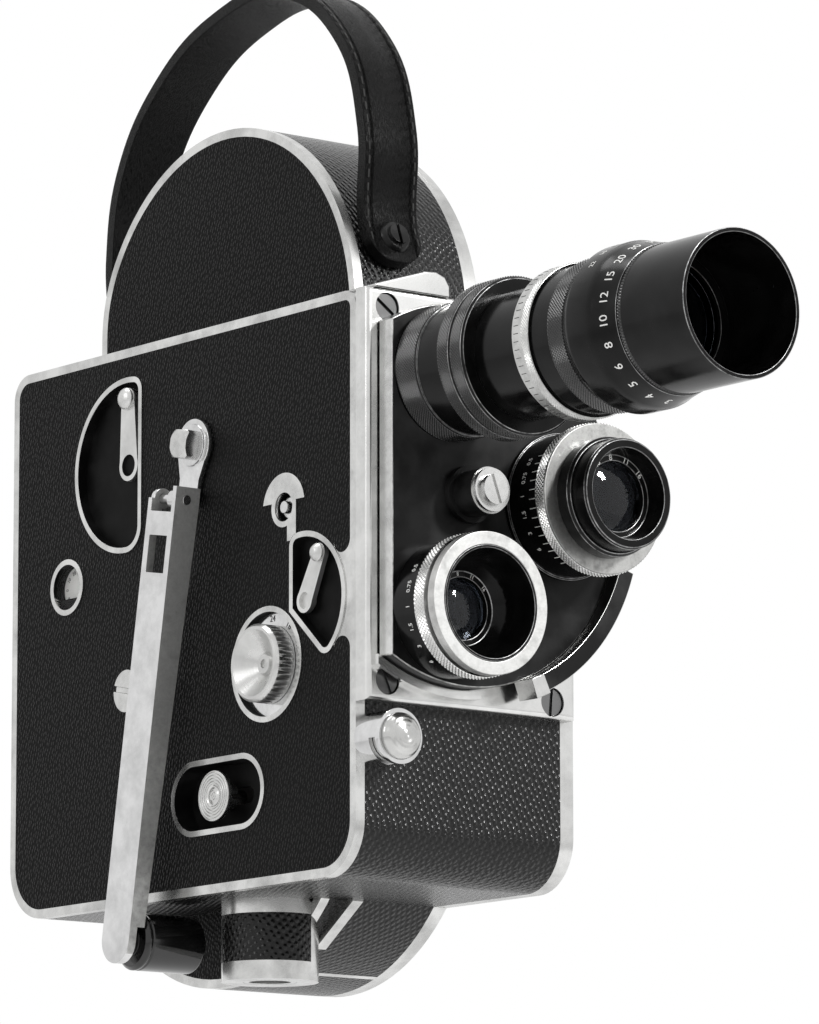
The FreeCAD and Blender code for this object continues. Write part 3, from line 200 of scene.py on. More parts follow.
def finish_solid(node, material, edge=0.0, segments=2, edge_material=None):
    """Copy of a solid with merged faces and softly broken edges; it stands for the solid."""
    bpy.ops.object.select_all(action="DESELECT")
    mesh = frame["nodes"][node].data.copy()
    mesh.materials.clear()
    piece = bpy.data.objects.new(node + "_finish", mesh)
    bpy.context.scene.collection.objects.link(piece)
    bpy.context.view_layer.objects.active = piece
    piece.select_set(True)
    mesh.materials.append(material)
    if edge_material:
        mesh.materials.append(edge_material)
    bpy.ops.object.mode_set(mode="EDIT")
    bpy.ops.mesh.select_all(action="SELECT")
    bpy.ops.mesh.customdata_custom_splitnormals_clear()
    bpy.ops.mesh.remove_doubles(threshold=same_point)
    bpy.ops.mesh.dissolve_limited(angle_limit=flat_within)
    bpy.ops.object.mode_set(mode="OBJECT")
    if edge > 0:
        soften = piece.modifiers.new("broken_edges", "BEVEL")
        soften.width = edge
        soften.segments = segments
        soften.limit_method = "ANGLE"
        soften.angle_limit = corner_above
        soften.use_clamp_overlap = True
        if edge_material:
            soften.material = 1
        bpy.ops.object.modifier_apply(modifier="broken_edges")
    bpy.ops.object.shade_smooth_by_angle(angle=smooth_below)
    even = piece.modifiers.new("even_flats", "WEIGHTED_NORMAL")
    even.keep_sharp = True
    bpy.ops.object.modifier_apply(modifier="even_flats")
    ride_with(piece, node)
    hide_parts(node)
    return piece


def colour_where(piece, material, chosen):
    """Give a second finish to the faces that a test of centre and normal picks out."""
    piece.data.materials.append(material)
    slot = len(piece.data.materials) - 1
    for face in piece.data.polygons:
        if chosen(face.center, face.normal):
            face.material_index = slot


nickel = plated("satin_nickel", (0.66, 0.66, 0.65), 0.22, dulling=0.4)
finish_solid("body_shell", nickel, 0.00035)

# Tripod bush. A plain steel bush with the tripod thread is pressed into the
# round foot under the casting.
finish_solid("tripod_bush", nickel, 0.0002)


# Leather cloth. Embossed black leather cloth is glued into sunk panels over
# the curved walls, the front, the rear, the base and round the tripod foot.
def leather_cloth(name, cell, angle, lift, shade, gloss, sheen, random=0.3):
    """Rows of small pebbles with worn, shinier tops, laid by the piece's own map; painted shade darkens the
    valleys and a painted highlight lightens the tops.
    """
    mat = bpy.data.materials.new(name)
    mat.use_nodes = True
    tree = mat.node_tree
    shader = tree.nodes["Principled BSDF"]
    shader.inputs["Specular IOR Level"].default_value = sheen
    place = tree.nodes.new("ShaderNodeTexCoord")
    tilt = tree.nodes.new("ShaderNodeMapping")
    tilt.inputs["Rotation"].default_value = (0, 0, math.radians(angle))
    tilt.inputs["Scale"].default_value = (1.0, 0.78, 1.0)
    tree.links.new(place.outputs["UV"], tilt.inputs["Vector"])
    pebble = tree.nodes.new("ShaderNodeTexVoronoi")
    pebble.voronoi_dimensions = "2D"
    pebble.feature = "SMOOTH_F1"
    pebble.inputs["Scale"].default_value = 1.0 / cell
    pebble.inputs["Smoothness"].default_value = 0.3
    pebble.inputs["Randomness"].default_value = random
    tree.links.new(tilt.outputs["Vector"], pebble.inputs["Vector"])
    dome = tree.nodes.new("ShaderNodeMapRange")
    dome.interpolation_type = "SMOOTHSTEP"
    dome.inputs["From Min"].default_value = 0.08
    dome.inputs["From Max"].default_value = 0.55
    dome.inputs["To Min"].default_value = 1.0
    dome.inputs["To Max"].default_value = 0.0
    tree.links.new(pebble.outputs["Distance"], dome.inputs["Value"])
    pore = tree.nodes.new("ShaderNodeTexNoise")
    pore.inputs["Scale"].default_value = 3.2 / cell
    pore.inputs["Detail"].default_value = 4.0
    tree.links.new(place.outputs["Object"], pore.inputs["Vector"])
    both = tree.nodes.new("ShaderNodeMath")
    both.operation = "MULTIPLY_ADD"
    both.inputs[1].default_value = 0.22
    tree.links.new(pore.outputs["Fac"], both.inputs[0])
    tree.links.new(dome.outputs["Result"], both.inputs[2])
    relief = tree.nodes.new("ShaderNodeBump")
    relief.inputs["Strength"].default_value = 0.9
    relief.inputs["Distance"].default_value = lift
    tree.links.new(both.outputs["Value"], relief.inputs["Height"])
    tree.links.new(relief.outputs["Normal"], shader.inputs["Normal"])
    # Colour follows the relief: painted shade in the valleys, painted highlight on the pebble tops.
    tone = tree.nodes.new("ShaderNodeValToRGB")
    tone.color_ramp.elements[0].position = 0.1
    tone.color_ramp.elements[0].color = (shade * 0.5, shade * 0.5, shade * 0.5, 1)
    tone.color_ramp.elements[1].position = 0.95
    tone.color_ramp.elements[1].color = (shade * 1.4, shade * 1.37, shade * 1.35, 1)
    tree.links.new(both.outputs["Value"], tone.inputs["Fac"])
    tree.links.new(tone.outputs["Color"], shader.inputs["Base Color"])
    shine = tree.nodes.new("ShaderNodeMapRange")
    shine.inputs["From Min"].default_value = 0.2
    shine.inputs["From Max"].default_value = 1.1
    shine.inputs["To Min"].default_value = min(1.0, gloss * 2.2)
    shine.inputs["To Max"].default_value = gloss
    tree.links.new(both.outputs["Value"], shine.inputs["Value"])
    tree.links.new(shine.outputs["Result"], shader.inputs["Roughness"])
    return mat


def lay_cloth(piece, way):
    """Map of a cloth piece, so that its pebbles run on over curves and corners."""
    laid = piece.data.uv_layers.new(name="laid")
    for face in piece.data.polygons:
        for corner in face.loop_indices:
            point = piece.data.vertices[piece.data.loops[corner].vertex_index].co
            laid.data[corner].uv = way(point, face.center, face.normal)


dome_r = 0.0520
dome_places = ((0.0250, 0.1531), (0.0250, 0.0528))
dome_slack = 0.0008


def on_flat_side(centre, normal):
    """Face that looks straight out of the winding side or the film side."""
    return abs(normal.x) > 0.7


def along_wall(point, centre, normal):
    """Across the camera and round its walls; on the flat sides, along and up."""
    if on_flat_side(centre, normal):
        return point.y, point.z
    for y, z in dome_places:
        if abs(math.hypot(centre.y - y, centre.z - z) - dome_r) < dome_slack:
            middle = math.atan2(centre.z - z, centre.y - y)
            beyond = math.atan2(point.z - z, point.y - y) - middle
            beyond -= 2 * math.pi * round(beyond / (2 * math.pi))
            return point.x, dome_r * (middle + beyond)
    return point.x, point.z * normal.y - point.y * normal.z


wall_cloth = leather_cloth("wall_leather_cloth", cell=0.00130, angle=33, lift=0.00018, shade=0.004,
                           gloss=0.13, sheen=0.30)
wall = finish_solid("wall_leather", wall_cloth, 0.00012)
lay_cloth(wall, along_wall)
boss_r = 0.0112
boss = finish_solid("boss_leather", wall_cloth, 0.00012)
lay_cloth(boss, lambda point, centre, normal: (boss_r * math.atan2(-point.x, -point.y), point.z))


# Film drive. The spring drum, the spindles, two toothed sprockets with their
# shoes, the gate with its sprung plate and the claw sit inside, in steel; the
# disc shutter is enamelled matt black.
def enamelled(name, colour, rough, worn=0.3, coat=0.0, patch=0.00625, sheen=0.3):
    """Baked black enamel or anodising with faint clouding."""
    mat = bpy.data.materials.new(name)
    mat.use_nodes = True
    tree = mat.node_tree
    shader = tree.nodes["Principled BSDF"]
    shader.inputs["Specular IOR Level"].default_value = sheen
    shader.inputs["Coat Weight"].default_value = coat
    shader.inputs["Coat Roughness"].default_value = 0.12
    place = tree.nodes.new("ShaderNodeTexCoord")
    cloud = tree.nodes.new("ShaderNodeTexNoise")
    cloud.inputs["Scale"].default_value = 1.0 / patch
    cloud.inputs["Detail"].default_value = 7.0
    tree.links.new(place.outputs["Object"], cloud.inputs["Vector"])
    tone = tree.nodes.new("ShaderNodeValToRGB")
    tone.color_ramp.elements[0].position = 0.42
    tone.color_ramp.elements[0].color = list(colour) + [1]
    tone.color_ramp.elements[1].position = 0.78
    tone.color_ramp.elements[1].color = [c + worn * 0.12 for c in colour] + [1]
    tree.links.new(cloud.outputs["Fac"], tone.inputs["Fac"])
    tree.links.new(tone.outputs["Color"], shader.inputs["Base Color"])
    gloss = tree.nodes.new("ShaderNodeMapRange")
    gloss.inputs["From Min"].default_value = 0.35
    gloss.inputs["From Max"].default_value = 0.7
    gloss.inputs["To Min"].default_value = rough * 0.85
    gloss.inputs["To Max"].default_value = rough * 1.3
    tree.links.new(cloud.outputs["Fac"], gloss.inputs["Value"])
    tree.links.new(gloss.outputs["Result"], shader.inputs["Roughness"])
    return mat


inner_steel = plated("inner_steel", (0.55, 0.55, 0.54), 0.35)
for node in ("spring_barrel", "feed_spindle", "takeup_spindle", "feed_sprocket", "takeup_sprocket",
             "film_shoes", "film_gate", "pressure_plate", "claw"):
    finish_solid(node, inner_steel)
shutter_black = enamelled("shutter_black", (0.012, 0.012, 0.012), 0.5, worn=0.2)
finish_solid("shutter", shutter_black)

# Spools. Two pressed aluminium daylight spools hold the film, one above the
# other; their flanges are matt from the press.
spool_metal = plated("spool_aluminium", (0.62, 0.62, 0.61), 0.42, cloud_size=0.02, dulling=0.15)
finish_solid("feed_spool", spool_metal)
finish_solid("takeup_spool", spool_metal)

# Film door. A flat plated lid covers the film side; its sunk panel and the
# flat sides of the domes hold a finer leather cloth, and two turned locks with
# thumb bars hold it shut.
side_cloth = leather_cloth("side_leather_cloth", cell=0.00090, angle=-24, lift=0.00013, shade=0.005,
                           gloss=0.24, sheen=0.08, random=0.6)
colour_where(wall, side_cloth, on_flat_side)
finish_solid("film_door", nickel, 0.0005, 3)
door_panel = finish_solid("door_leather", side_cloth, 0.00018)
lay_cloth(door_panel, along_wall)
finish_solid("upper_lock", nickel, 0.0003)
finish_solid("lower_lock", nickel, 0.0003)

# Winding side. A plated cover with narrow bright rims holds a sheet of the fine
# leather cloth; the floors of its sunk wells are enamelled matt black, and their
# walls and holes are painted black too, as painted shade.
well_paint_and_shade = enamelled("well_paint_and_shade", (0.004, 0.004, 0.004), 0.5, worn=0.1, sheen=0.06)
cover = finish_solid("side_cover", nickel, 0.0004, 3)
cover_low, cover_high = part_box("side_cover")
cover_mid = (Vector(cover_low) + Vector(cover_high)) / 2
sunk = 0.0009
rim_share = 0.95
corner_share = 1.7


def in_a_well(centre, normal):
    """Floor or wall of a sunk well, away from the rim of the cover."""
    across = abs(centre.y - cover_mid.y) / (cover_high[1] - cover_mid.y)
    upright = abs(centre.z - cover_mid.z) / (cover_high[2] - cover_mid.z)
    away_from_rim = max(across, upright) < rim_share and across + upright < corner_share
    return away_from_rim and centre.x > cover_low[0] + sunk


# Painted black in the wells: enamel on the floors, painted shade on the walls and in the holes.
colour_where(cover, well_paint_and_shade, in_a_well)
side_panel = finish_solid("side_leather", side_cloth, 0.00018)
lay_cloth(side_panel, along_wall)

# Winding crank. A chromed hub carries a square nut and a folding arm, pressed
# from sheet with one flange; the arm ends in a black moulded grip on a pin.
chrome = plated("bright_chrome", (0.68, 0.68, 0.68), 0.13, cloud_size=0.0066)
brushed = plated("brushed_flange", (0.50, 0.50, 0.49), 0.55, cloud_size=0.004, dulling=0.45, hair=0.5)
moulded = enamelled("moulded_grip", (0.004, 0.004, 0.004), 0.12, worn=0.05, coat=0.6)
finish_solid("winding_hub", chrome, 0.00025)
finish_solid("crank_nut", nickel, 0.0003)
arm = finish_solid("crank_arm", chrome, 0.0003)
colour_where(arm, brushed, lambda centre, normal: normal.y < -0.8)
finish_solid("crank_pin", chrome, 0.0002)
finish_solid("crank_grip", moulded, 0.0005, 3)


# Speed knob. A turned and dished knob with a notched wall stands over a bright
# scale plate with plain numbers, in a round well of the side cover.
ring_depth = 0.00008
wave_unit = 0.314


def turned(name, colour, rough, centre, pitch, strength, axis="X"):
    """Metal turned on a lathe: fine rings round its axis, which also draw out the light."""
    mat = plated(name, colour, rough, cloud_size=0.006, dulling=0.15)
    tree = mat.node_tree
    place = tree.nodes.new("ShaderNodeTexCoord")
    middle = tree.nodes.new("ShaderNodeMapping")
    middle.inputs["Location"].default_value = [-c for c in centre]
    tree.links.new(place.outputs["Object"], middle.inputs["Vector"])
    rings = tree.nodes.new("ShaderNodeTexWave")
    rings.wave_type = "RINGS"
    rings.rings_direction = axis
    rings.inputs["Scale"].default_value = wave_unit / pitch
    rings.inputs["Distortion"].default_value = 0.3
    rings.inputs["Detail"].default_value = 1.0
    tree.links.new(middle.outputs["Vector"], rings.inputs["Vector"])
    relief = tree.nodes["relief"]
    relief.inputs["Strength"].default_value = strength
    relief.inputs["Distance"].default_value = ring_depth
    tree.links.new(rings.outputs["Fac"], relief.inputs["Height"])
    outwards = tree.nodes.new("ShaderNodeVectorMath")
    outwards.operation = "MULTIPLY"
    outwards.inputs[1].default_value = (0, 1, 1) if axis == "X" else (1, 0, 1)
    tree.links.new(middle.outputs["Vector"], outwards.inputs[0])
    tree.links.new(outwards.outputs["Vector"], tree.nodes["Principled BSDF"].inputs["Tangent"])
    tree.nodes["Principled BSDF"].inputs["Anisotropic"].default_value = 0.8
    return mat


def middle_of(node):
    """Middle of the box round a solid."""
    low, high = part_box(node)
    return Vector(((low[0] + high[0]) / 2, (low[1] + high[1]) / 2, (low[2] + high[2]) / 2))


def filled(name, colour):
    """Paint rubbed into engraved marks."""
    return enamelled(name, colour, 0.55, worn=0.0)


mark_height = 0.00004
mark_gap = 0.00001


def engrave(name, node, marks, material):
    """Small marks cut into a piece and filled with paint; each is text, size, place, up, out."""
    made = []
    for text, size, place, up_way, out in marks:
        bpy.ops.object.select_all(action="DESELECT")
        bpy.ops.object.text_add()
        mark = bpy.context.active_object
        mark.data.body = text
        mark.data.size = size
        mark.data.align_x = "CENTER"
        mark.data.align_y = "CENTER"
        mark.data.extrude = mark_height
        mark.data.resolution_u = 3
        bpy.ops.object.convert(target="MESH")
        along = up_way.cross(out)
        mark.data.transform(Matrix.Translation(place) @ Matrix((along, up_way, out)).transposed().to_4x4())
        made.append(mark)
    bpy.ops.object.select_all(action="DESELECT")
    for mark in made:
        mark.select_set(True)
    bpy.context.view_layer.objects.active = made[0]
    bpy.ops.object.join()
    piece = bpy.context.active_object
    piece.name = name
    piece.data.materials.clear()
    piece.data.materials.append(material)
    ride_with(piece, node)


def dial_mark(text, size, centre, radius, degrees, face_x):
    """Mark on a flat dial that faces the winding side, with its foot towards the centre."""
    t = math.radians(degrees)
    up_way = Vector((0, math.cos(t), math.sin(t)))
    return (text, size, Vector((face_x, centre.y, centre.z)) + radius * up_way, up_way, Vector((-1, 0, 0)))


black_fill = filled("black_fill", (0.01, 0.01, 0.01))
knob = middle_of("speed_knob")
knob_metal = turned("turned_knob", (0.60, 0.60, 0.59), 0.28, knob, pitch=0.0006, strength=0.10)
finish_solid("speed_knob", knob_metal, 0.0002)
finish_solid("speed_ring", chrome, 0.00015)
scale_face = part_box("speed_ring")[0][0] - mark_gap
speeds = ["8", "12", "16", "24", "32", "48", "64"]
speed_size, speed_r = 0.0021, 0.0104
engrave("speed_numbers", "speed_ring",
        [dial_mark(speed, speed_size, knob, speed_r, 200 - 36 * i, scale_face)
         for i, speed in enumerate(speeds)], black_fill)

# Side release. A turned button slides in its oval well, up for single frames
# and down for continuous running; its face shows fine rings from the lathe.
button = middle_of("side_release")
button_metal = turned("turned_button", (0.64, 0.64, 0.63), 0.2, button, pitch=0.0007, strength=1.0)
finish_solid("side_release", button_metal, 0.0002)

# Small levers. The motor lever and the exposure lever are stamped, plated and
# screwed on by their hubs, each with a raised thumb knob at its end.
lever_nickel = plated("lever_nickel", (0.66, 0.66, 0.65), 0.36)
motor_lever = finish_solid("motor_lever", lever_nickel, 0.0002)
lever_face = middle_of("motor_lever").x
pivot = Vector((0, 0.0269, 0.1218))
pit_r = 0.0026


def in_pivot_pit(centre, normal):
    """Pit in the lever's face, round its pivot."""
    return math.hypot(centre.y - pivot.y, centre.z - pivot.z) < pit_r and centre.x < lever_face


# The pit round the lever's pivot is painted black as painted shade.
colour_where(motor_lever, well_paint_and_shade, in_pivot_pit)
finish_solid("exposure_lever", lever_nickel)

# Rewind socket. A half-moon plate guards the dark hole where a key winds the
# film back; the bright end of the shaft stands in the hole.
finish_solid("rewind_plate", nickel, 0.0002)
finish_solid("rewind_shaft", chrome, 0.0002)

# Frame counter. A white enamelled disc with ten numbers turns under a clear
# window in its own round well.
counter = middle_of("counter_dial")
finish_solid("counter_dial", enamelled("dial_white", (0.66, 0.66, 0.64), 0.35, worn=0.2), 0.0001)
counter_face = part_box("counter_dial")[0][0] - mark_gap
count_size, count_r = 0.0013, 0.0039
engrave("counter_numbers", "counter_dial",
        [dial_mark(str(10 * i), count_size, counter, count_r, 36 * i, counter_face)
         for i in range(10)], black_fill)

# Cover screw. One slotted steel screw, plated like the cover, draws the side
# cover against the casting.
finish_solid("cover_screw", nickel, 0.0002)

# Front plate. A plated plate with a fillet closes the front; four slotted dark
# screws hold it, and the prism housing of the viewfinder stands above it.
front_nickel = plated("front_nickel", (0.68, 0.68, 0.67), 0.22)
finish_solid("front_plate", front_nickel, 0.0005, 3)
screw_dark = plated("blued_screw", (0.16, 0.16, 0.16), 0.3)
finish_solid("front_screws", screw_dark, 0.0001)
finish_solid("focus_housing", nickel, 0.0004, 3)

# Turret. The three-lens disc is black enamel on brass, worn grey on its face
# and bright at its edges; it turns on a stud under a slotted cap, and a curved
# thumb bar on its rim turns it.
enamel = enamelled("black_enamel", (0.006, 0.006, 0.006), 0.36, worn=0.35, patch=0.0125, sheen=0.14)
worn_edge = plated("worn_edge", (0.50, 0.50, 0.49), 0.3, cloud_size=0.003, dulling=0.85)
turret = finish_solid("turret", enamel, 0.0003, edge_material=worn_edge)
flank_x = -0.015
colour_where(turret, nickel, lambda centre, normal: normal.x < -0.9 and centre.x < flank_x)
stud = finish_solid("turret_stud", nickel, 0.0002)
cap_depth = 0.0036
cap_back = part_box("turret_stud")[0][1] + cap_depth
colour_where(stud, enamel, lambda centre, normal: centre.y > cap_back)
thumb_bar = finish_solid("turret_lever", enamel, 0.0004, edge_material=nickel)
turret_mid = middle_of("turret_stud")
bright_end_below = -64.3


def on_bright_end(centre, normal):
    """End of the thumb bar where the enamel is worn off, by its angle round the turret."""
    return math.degrees(math.atan2(centre.z - turret_mid.z, centre.x - turret_mid.x)) < bright_end_below


colour_where(thumb_bar, nickel, on_bright_end)

# Front release. A domed push button slides in a short barrel below the turret
# and starts the motor from the lens side.
finish_solid("release_barrel", chrome, 0.0003)
release = middle_of("front_release")
release_metal = turned("turned_release", (0.56, 0.56, 0.55), 0.2, release, pitch=0.0012, strength=0.6,
                       axis="Y")
finish_solid("front_release", release_metal, 0.0003)


# Long lens. Black anodised barrel with knurled focusing and diaphragm rings,
# one chromed ring with a fine scale, white numbers and a deep slip-on hood.
def knurled_band(name, node, material, radius, back, width, around, rows, lift):
    """Diamond knurl rolled into a band that runs round a lens axis along Y."""
    axis = middle_of(node)
    bpy.ops.object.select_all(action="DESELECT")
    bpy.ops.mesh.primitive_cylinder_add(
        vertices=around, radius=radius, depth=width, end_fill_type="NOTHING",
        location=(axis.x, back - width / 2, axis.z), rotation=(math.pi / 2, 0, 0))
    band = bpy.context.active_object
    band.name = name
    bpy.ops.object.transform_apply(location=True, rotation=True, scale=True)
    bpy.ops.object.mode_set(mode="EDIT")
    for row in range(1, rows):
        bpy.ops.mesh.select_all(action="SELECT")
        bpy.ops.mesh.bisect(plane_co=(0, back - width * row / rows, 0), plane_no=(0, 1, 0))
    bpy.ops.mesh.select_all(action="SELECT")
    bpy.ops.mesh.poke()
    bpy.ops.mesh.select_all(action="DESELECT")
    bpy.ops.object.mode_set(mode="OBJECT")
    mesh = band.data
    for edge in mesh.edges:
        a, b = (mesh.vertices[i].co for i in edge.vertices)
        on_rim = min(abs(a.y - back), abs(a.y - back + width)) < 1e-6
        turned_by = abs(math.atan2(a.z - axis.z, a.x - axis.x) - math.atan2(b.z - axis.z, b.x - axis.x))
        if abs(a.y - b.y) < 1e-7 and not on_rim or turned_by < 1e-4:
            edge.select = True
    bpy.ops.object.mode_set(mode="EDIT")
    bpy.ops.mesh.select_mode(type="EDGE")
    bpy.ops.mesh.dissolve_edges(use_verts=False)
    bpy.ops.mesh.select_all(action="SELECT")
    bpy.ops.mesh.poke(offset=lift)
    bpy.ops.object.mode_set(mode="OBJECT")
    mesh.materials.append(material)
    ride_with(band, node)


turret_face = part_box("turret")[0][1]


def engrave_round(name, node, texts, material, size, radius, forward, start, step, slope=0.0):
    """Marks round a lens: how far forward of the turret, first angle and step, lean of the surface."""
    axis = middle_of(node)
    row = []
    for i, text in enumerate(texts):
        t = math.radians(start + step * i)
        away = Vector((math.cos(t), 0, math.sin(t)))
        out = away * math.cos(slope) + Vector((0, -1, 0)) * math.sin(slope)
        up_way = Vector((0, 1, 0)) * math.cos(slope) + away * math.sin(slope)
        place = Vector((axis.x, turret_face - forward, axis.z)) + away * radius
        row.append((text, size, place, up_way, out))
    engrave(name, node, row, material)


barrel_black = enamelled("lens_black", (0.003, 0.003, 0.003), 0.17, worn=0.05, sheen=0.15)
knurl_black = enamelled("knurl_black", (0.006, 0.006, 0.006), 0.2, worn=0.2, sheen=0.6)
worn_lens_edge = plated("worn_lens_edge", (0.30, 0.30, 0.30), 0.3, cloud_size=0.002, dulling=0.9)
white_fill = filled("white_fill", (0.90, 0.90, 0.88))
tele = finish_solid("tele_barrel", barrel_black, 0.00015, edge_material=worn_lens_edge)
tele_axis = middle_of("tele_barrel")
chrome_back, chrome_front = turret_face - 0.0439, turret_face - 0.0495
chrome_core_r = 0.0148
chrome_slack = 0.0002


def on_chrome_ring(centre, normal):
    """Outside of the one chromed ring on the black barrel."""
    away = math.hypot(centre.x - tele_axis.x, centre.z - tele_axis.z)
    return chrome_front - chrome_slack < centre.y < chrome_back + chrome_slack and away > chrome_core_r


graduated = plated("graduated_ring", (0.58, 0.58, 0.57), 0.28, cloud_size=0.003, dulling=0.3)
colour_where(tele, graduated, on_chrome_ring)
finish_solid("tele_focus_ring", barrel_black, 0.00012, edge_material=worn_lens_edge)
finish_solid("tele_aperture_ring", barrel_black, 0.00012, edge_material=worn_lens_edge)
finish_solid("tele_hood", barrel_black, 0.00015, edge_material=worn_lens_edge)
# Each knurl has a name, its piece, finish, radius, place forward of the turret,
# width, number of teeth round, number of rows and height of a tooth.
tele_knurls = (
    ("tele_base_knurl", "tele_barrel", knurl_black, 0.01532, 0.0009, 0.0066, 130, 8, 0.00022),
    ("tele_focus_knurl_rear", "tele_focus_ring", knurl_black, 0.01782, 0.0188, 0.0034, 150, 4, 0.00022),
    ("tele_focus_knurl_front", "tele_focus_ring", knurl_black, 0.01782, 0.0234, 0.0033, 150, 4, 0.00022),
    ("tele_scale_knurl", "tele_barrel", graduated, 0.01712, 0.0472, 0.0021, 150, 3, 0.0002),
    ("tele_aperture_knurl", "tele_aperture_ring", knurl_black, 0.01702, 0.0562, 0.0049, 140, 6, 0.00022),
    ("tele_hood_knurl", "tele_hood", knurl_black, 0.01632, 0.0786, 0.0012, 150, 1, 0.0002),
)
for name, node, finish, radius, forward, width, around, rows, lift in tele_knurls:
    knurled_band(name, node, finish, radius, turret_face - forward, width, around, rows, lift)
distances = ["3", "4", "5", "6", "8", "10", "12", "15", "20", "30", "50", "80"]
cone_rise, cone_length = 18.0 - 16.6, 78.5 - 72.0
engrave_round("tele_distances", "tele_barrel", distances, white_fill, size=0.0030, radius=0.01732,
              forward=0.0753, start=272, step=-17, slope=math.atan2(cone_rise, cone_length))
stops = ["22", "16", "11", "8", "5.6", "4"]
engrave_round("tele_stops", "tele_barrel", stops, white_fill, size=0.0019, radius=0.01852,
              forward=0.0680, start=140, step=-13)
engrave_round("tele_scale", "tele_barrel", ["|"] * 60, black_fill, size=0.0017, radius=0.01711,
              forward=0.0452, start=0, step=6)

# Standard lens. In the taking position, a short black barrel with a broad
# chromed focusing disc that is knurled on its rim, and a black diaphragm ring.
finish_solid("normal_barrel", barrel_black, 0.00015, edge_material=worn_lens_edge)
finish_solid("normal_aperture_ring", barrel_black, 0.00012, edge_material=worn_lens_edge)
disc_chrome = plated("disc_chrome", (0.42, 0.42, 0.41), 0.34, cloud_size=0.002, dulling=0.45, hair=0.3)
finish_solid("normal_focus_ring", disc_chrome, 0.0002)
disc_low, disc_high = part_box("normal_focus_ring")
knurl_gap = 0.00002
plain_rim = 0.0004
knurled_band("normal_focus_knurl", "normal_focus_ring", nickel,
             radius=(disc_high[0] - disc_low[0]) / 2 + knurl_gap, back=disc_high[1] - plain_rim,
             width=disc_high[1] - disc_low[1] - 2 * plain_rim, around=120, rows=3, lift=0.00025)
ranges = ["0.5", "0.75", "1", "1.5", "3", "6"]
engrave_round("normal_distances", "normal_barrel", ranges, white_fill, size=0.0017, radius=0.01632,
              forward=0.0060, start=150, step=15)
engrave_round("normal_lines", "normal_barrel", ["|"] * 14, white_fill, size=0.0022, radius=0.01632,
              forward=0.0092, start=146, step=7.5)


def engrave_mouth(name, node, texts, material, size, radius, forward, start, step):
    """Marks on the flat ring that faces forward round a lens, read from its outside."""
    axis = middle_of(node)
    row = []
    for i, text in enumerate(texts):
        t = math.radians(start + step * i)
        away = Vector((math.cos(t), 0, math.sin(t)))
        place = Vector((axis.x, turret_face - forward, axis.z)) + away * radius
        row.append((text, size, place, away, Vector((0, -1, 0))))
    engrave(name, node, row, material)


mouth_stops = ["1.4", "2", "2.8", "4", "5.6", "8", "11", "16"]
engrave_mouth("normal_mouth_numbers", "normal_barrel", mouth_stops, white_fill, size=0.0019,
              radius=0.0087, forward=0.01902, start=250, step=-30)

# Wide lens. A squat black barrel with a chromed ring, knurled at the back and
# flat at the front, round a deep black mouth.
finish_solid("wide_barrel", barrel_black, 0.00015, edge_material=worn_lens_edge)
ring_nickel = plated("ring_nickel", (0.54, 0.54, 0.53), 0.42, cloud_size=0.003, dulling=0.3, hair=0.5)
finish_solid("wide_ring", ring_nickel, 0.0002)
wide_low, wide_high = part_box("wide_ring")
wide_rim = 0.0006
knurled_band("wide_knurl", "wide_ring", nickel,
             radius=(wide_high[0] - wide_low[0]) / 2 + knurl_gap, back=wide_high[1] - wide_rim,
             width=0.0034, around=110, rows=3, lift=0.00028)
engrave_round("wide_distances", "wide_barrel", ranges, white_fill, size=0.0017, radius=0.01552,
              forward=0.0052, start=150, step=17)
engrave_mouth("wide_mouth_numbers", "wide_barrel", mouth_stops, white_fill, size=0.0012,
              radius=0.0077, forward=0.00502, start=250, step=-30)


# Lens glass. The lenses hold ground and coated glass, tinted dark and a little
# cold to stand for the black inside of a real lens; the counter's window is clear.
def see_through(name, tint, rough, bending):
    """Polished glass, by its tint and how strongly it bends light."""
    mat = bpy.data.materials.new(name)
    mat.use_nodes = True
    shader = mat.node_tree.nodes["Principled BSDF"]
    shader.inputs["Base Color"].default_value = list(tint) + [1]
    shader.inputs["Roughness"].default_value = rough
    shader.inputs["IOR"].default_value = bending
    shader.inputs["Transmission Weight"].default_value = 1.0
    return mat


glass = see_through("coated_glass", (0.30, 0.33, 0.38), 0.02, 1.36)
finish_solid("tele_glass", glass)
finish_solid("normal_glass", glass)
finish_solid("wide_glass", glass)
window_glass = see_through("window_glass", (0.95, 0.95, 0.95), 0.03, 1.1)
finish_solid("counter_window", window_glass)

# Carrying strap. One band of thick black harness leather, creased and stitched
# along both edges, runs from the front foot over the hand loop to the rear foot,
# and an enamelled screw with a slot holds each foot to the casting.
strap_x = 0.0155
strap_w = 0.0155
strap_t = 0.0030
dome_y, dome_z = dome_places[0]
foot_r = 0.0538
# The route is the middle line of the band, seen from the middle of the upper
# dome: back from the lenses, and up.
route = [(foot_r * math.cos(math.radians(a)), foot_r * math.sin(math.radians(a)))
         for a in (167, 161.5, 156.5)]
route += [(-0.0490, 0.0449), (-0.0405, 0.0674), (-0.0170, 0.0834), (0.0090, 0.0820), (0.0320, 0.0704),
          (0.0476, 0.0514), (0.0522, 0.0300), (0.0513, 0.0149), (0.0513, 0.0089), (0.0513, 0.0029)]
line = bpy.data.curves.new("strap_line", "CURVE")
line.dimensions = "2D"
run = line.splines.new("BEZIER")
run.bezier_points.add(len(route) - 1)
for point, (y, z) in zip(run.bezier_points, route):
    point.co = (y, z, 0)
    point.handle_left_type = "AUTO"
    point.handle_right_type = "AUTO"
line.resolution_u = 24
strap_line = bpy.data.objects.new("strap_line", line)
bpy.context.scene.collection.objects.link(strap_line)
length = run.calc_length()

bpy.ops.object.select_all(action="DESELECT")
bpy.ops.mesh.primitive_cube_add(size=1, location=(length / 2, 0, 0), scale=(length, strap_t, strap_w))
band = bpy.context.active_object
band.name = "strap_band"
bpy.ops.object.transform_apply(location=True, rotation=True, scale=True)


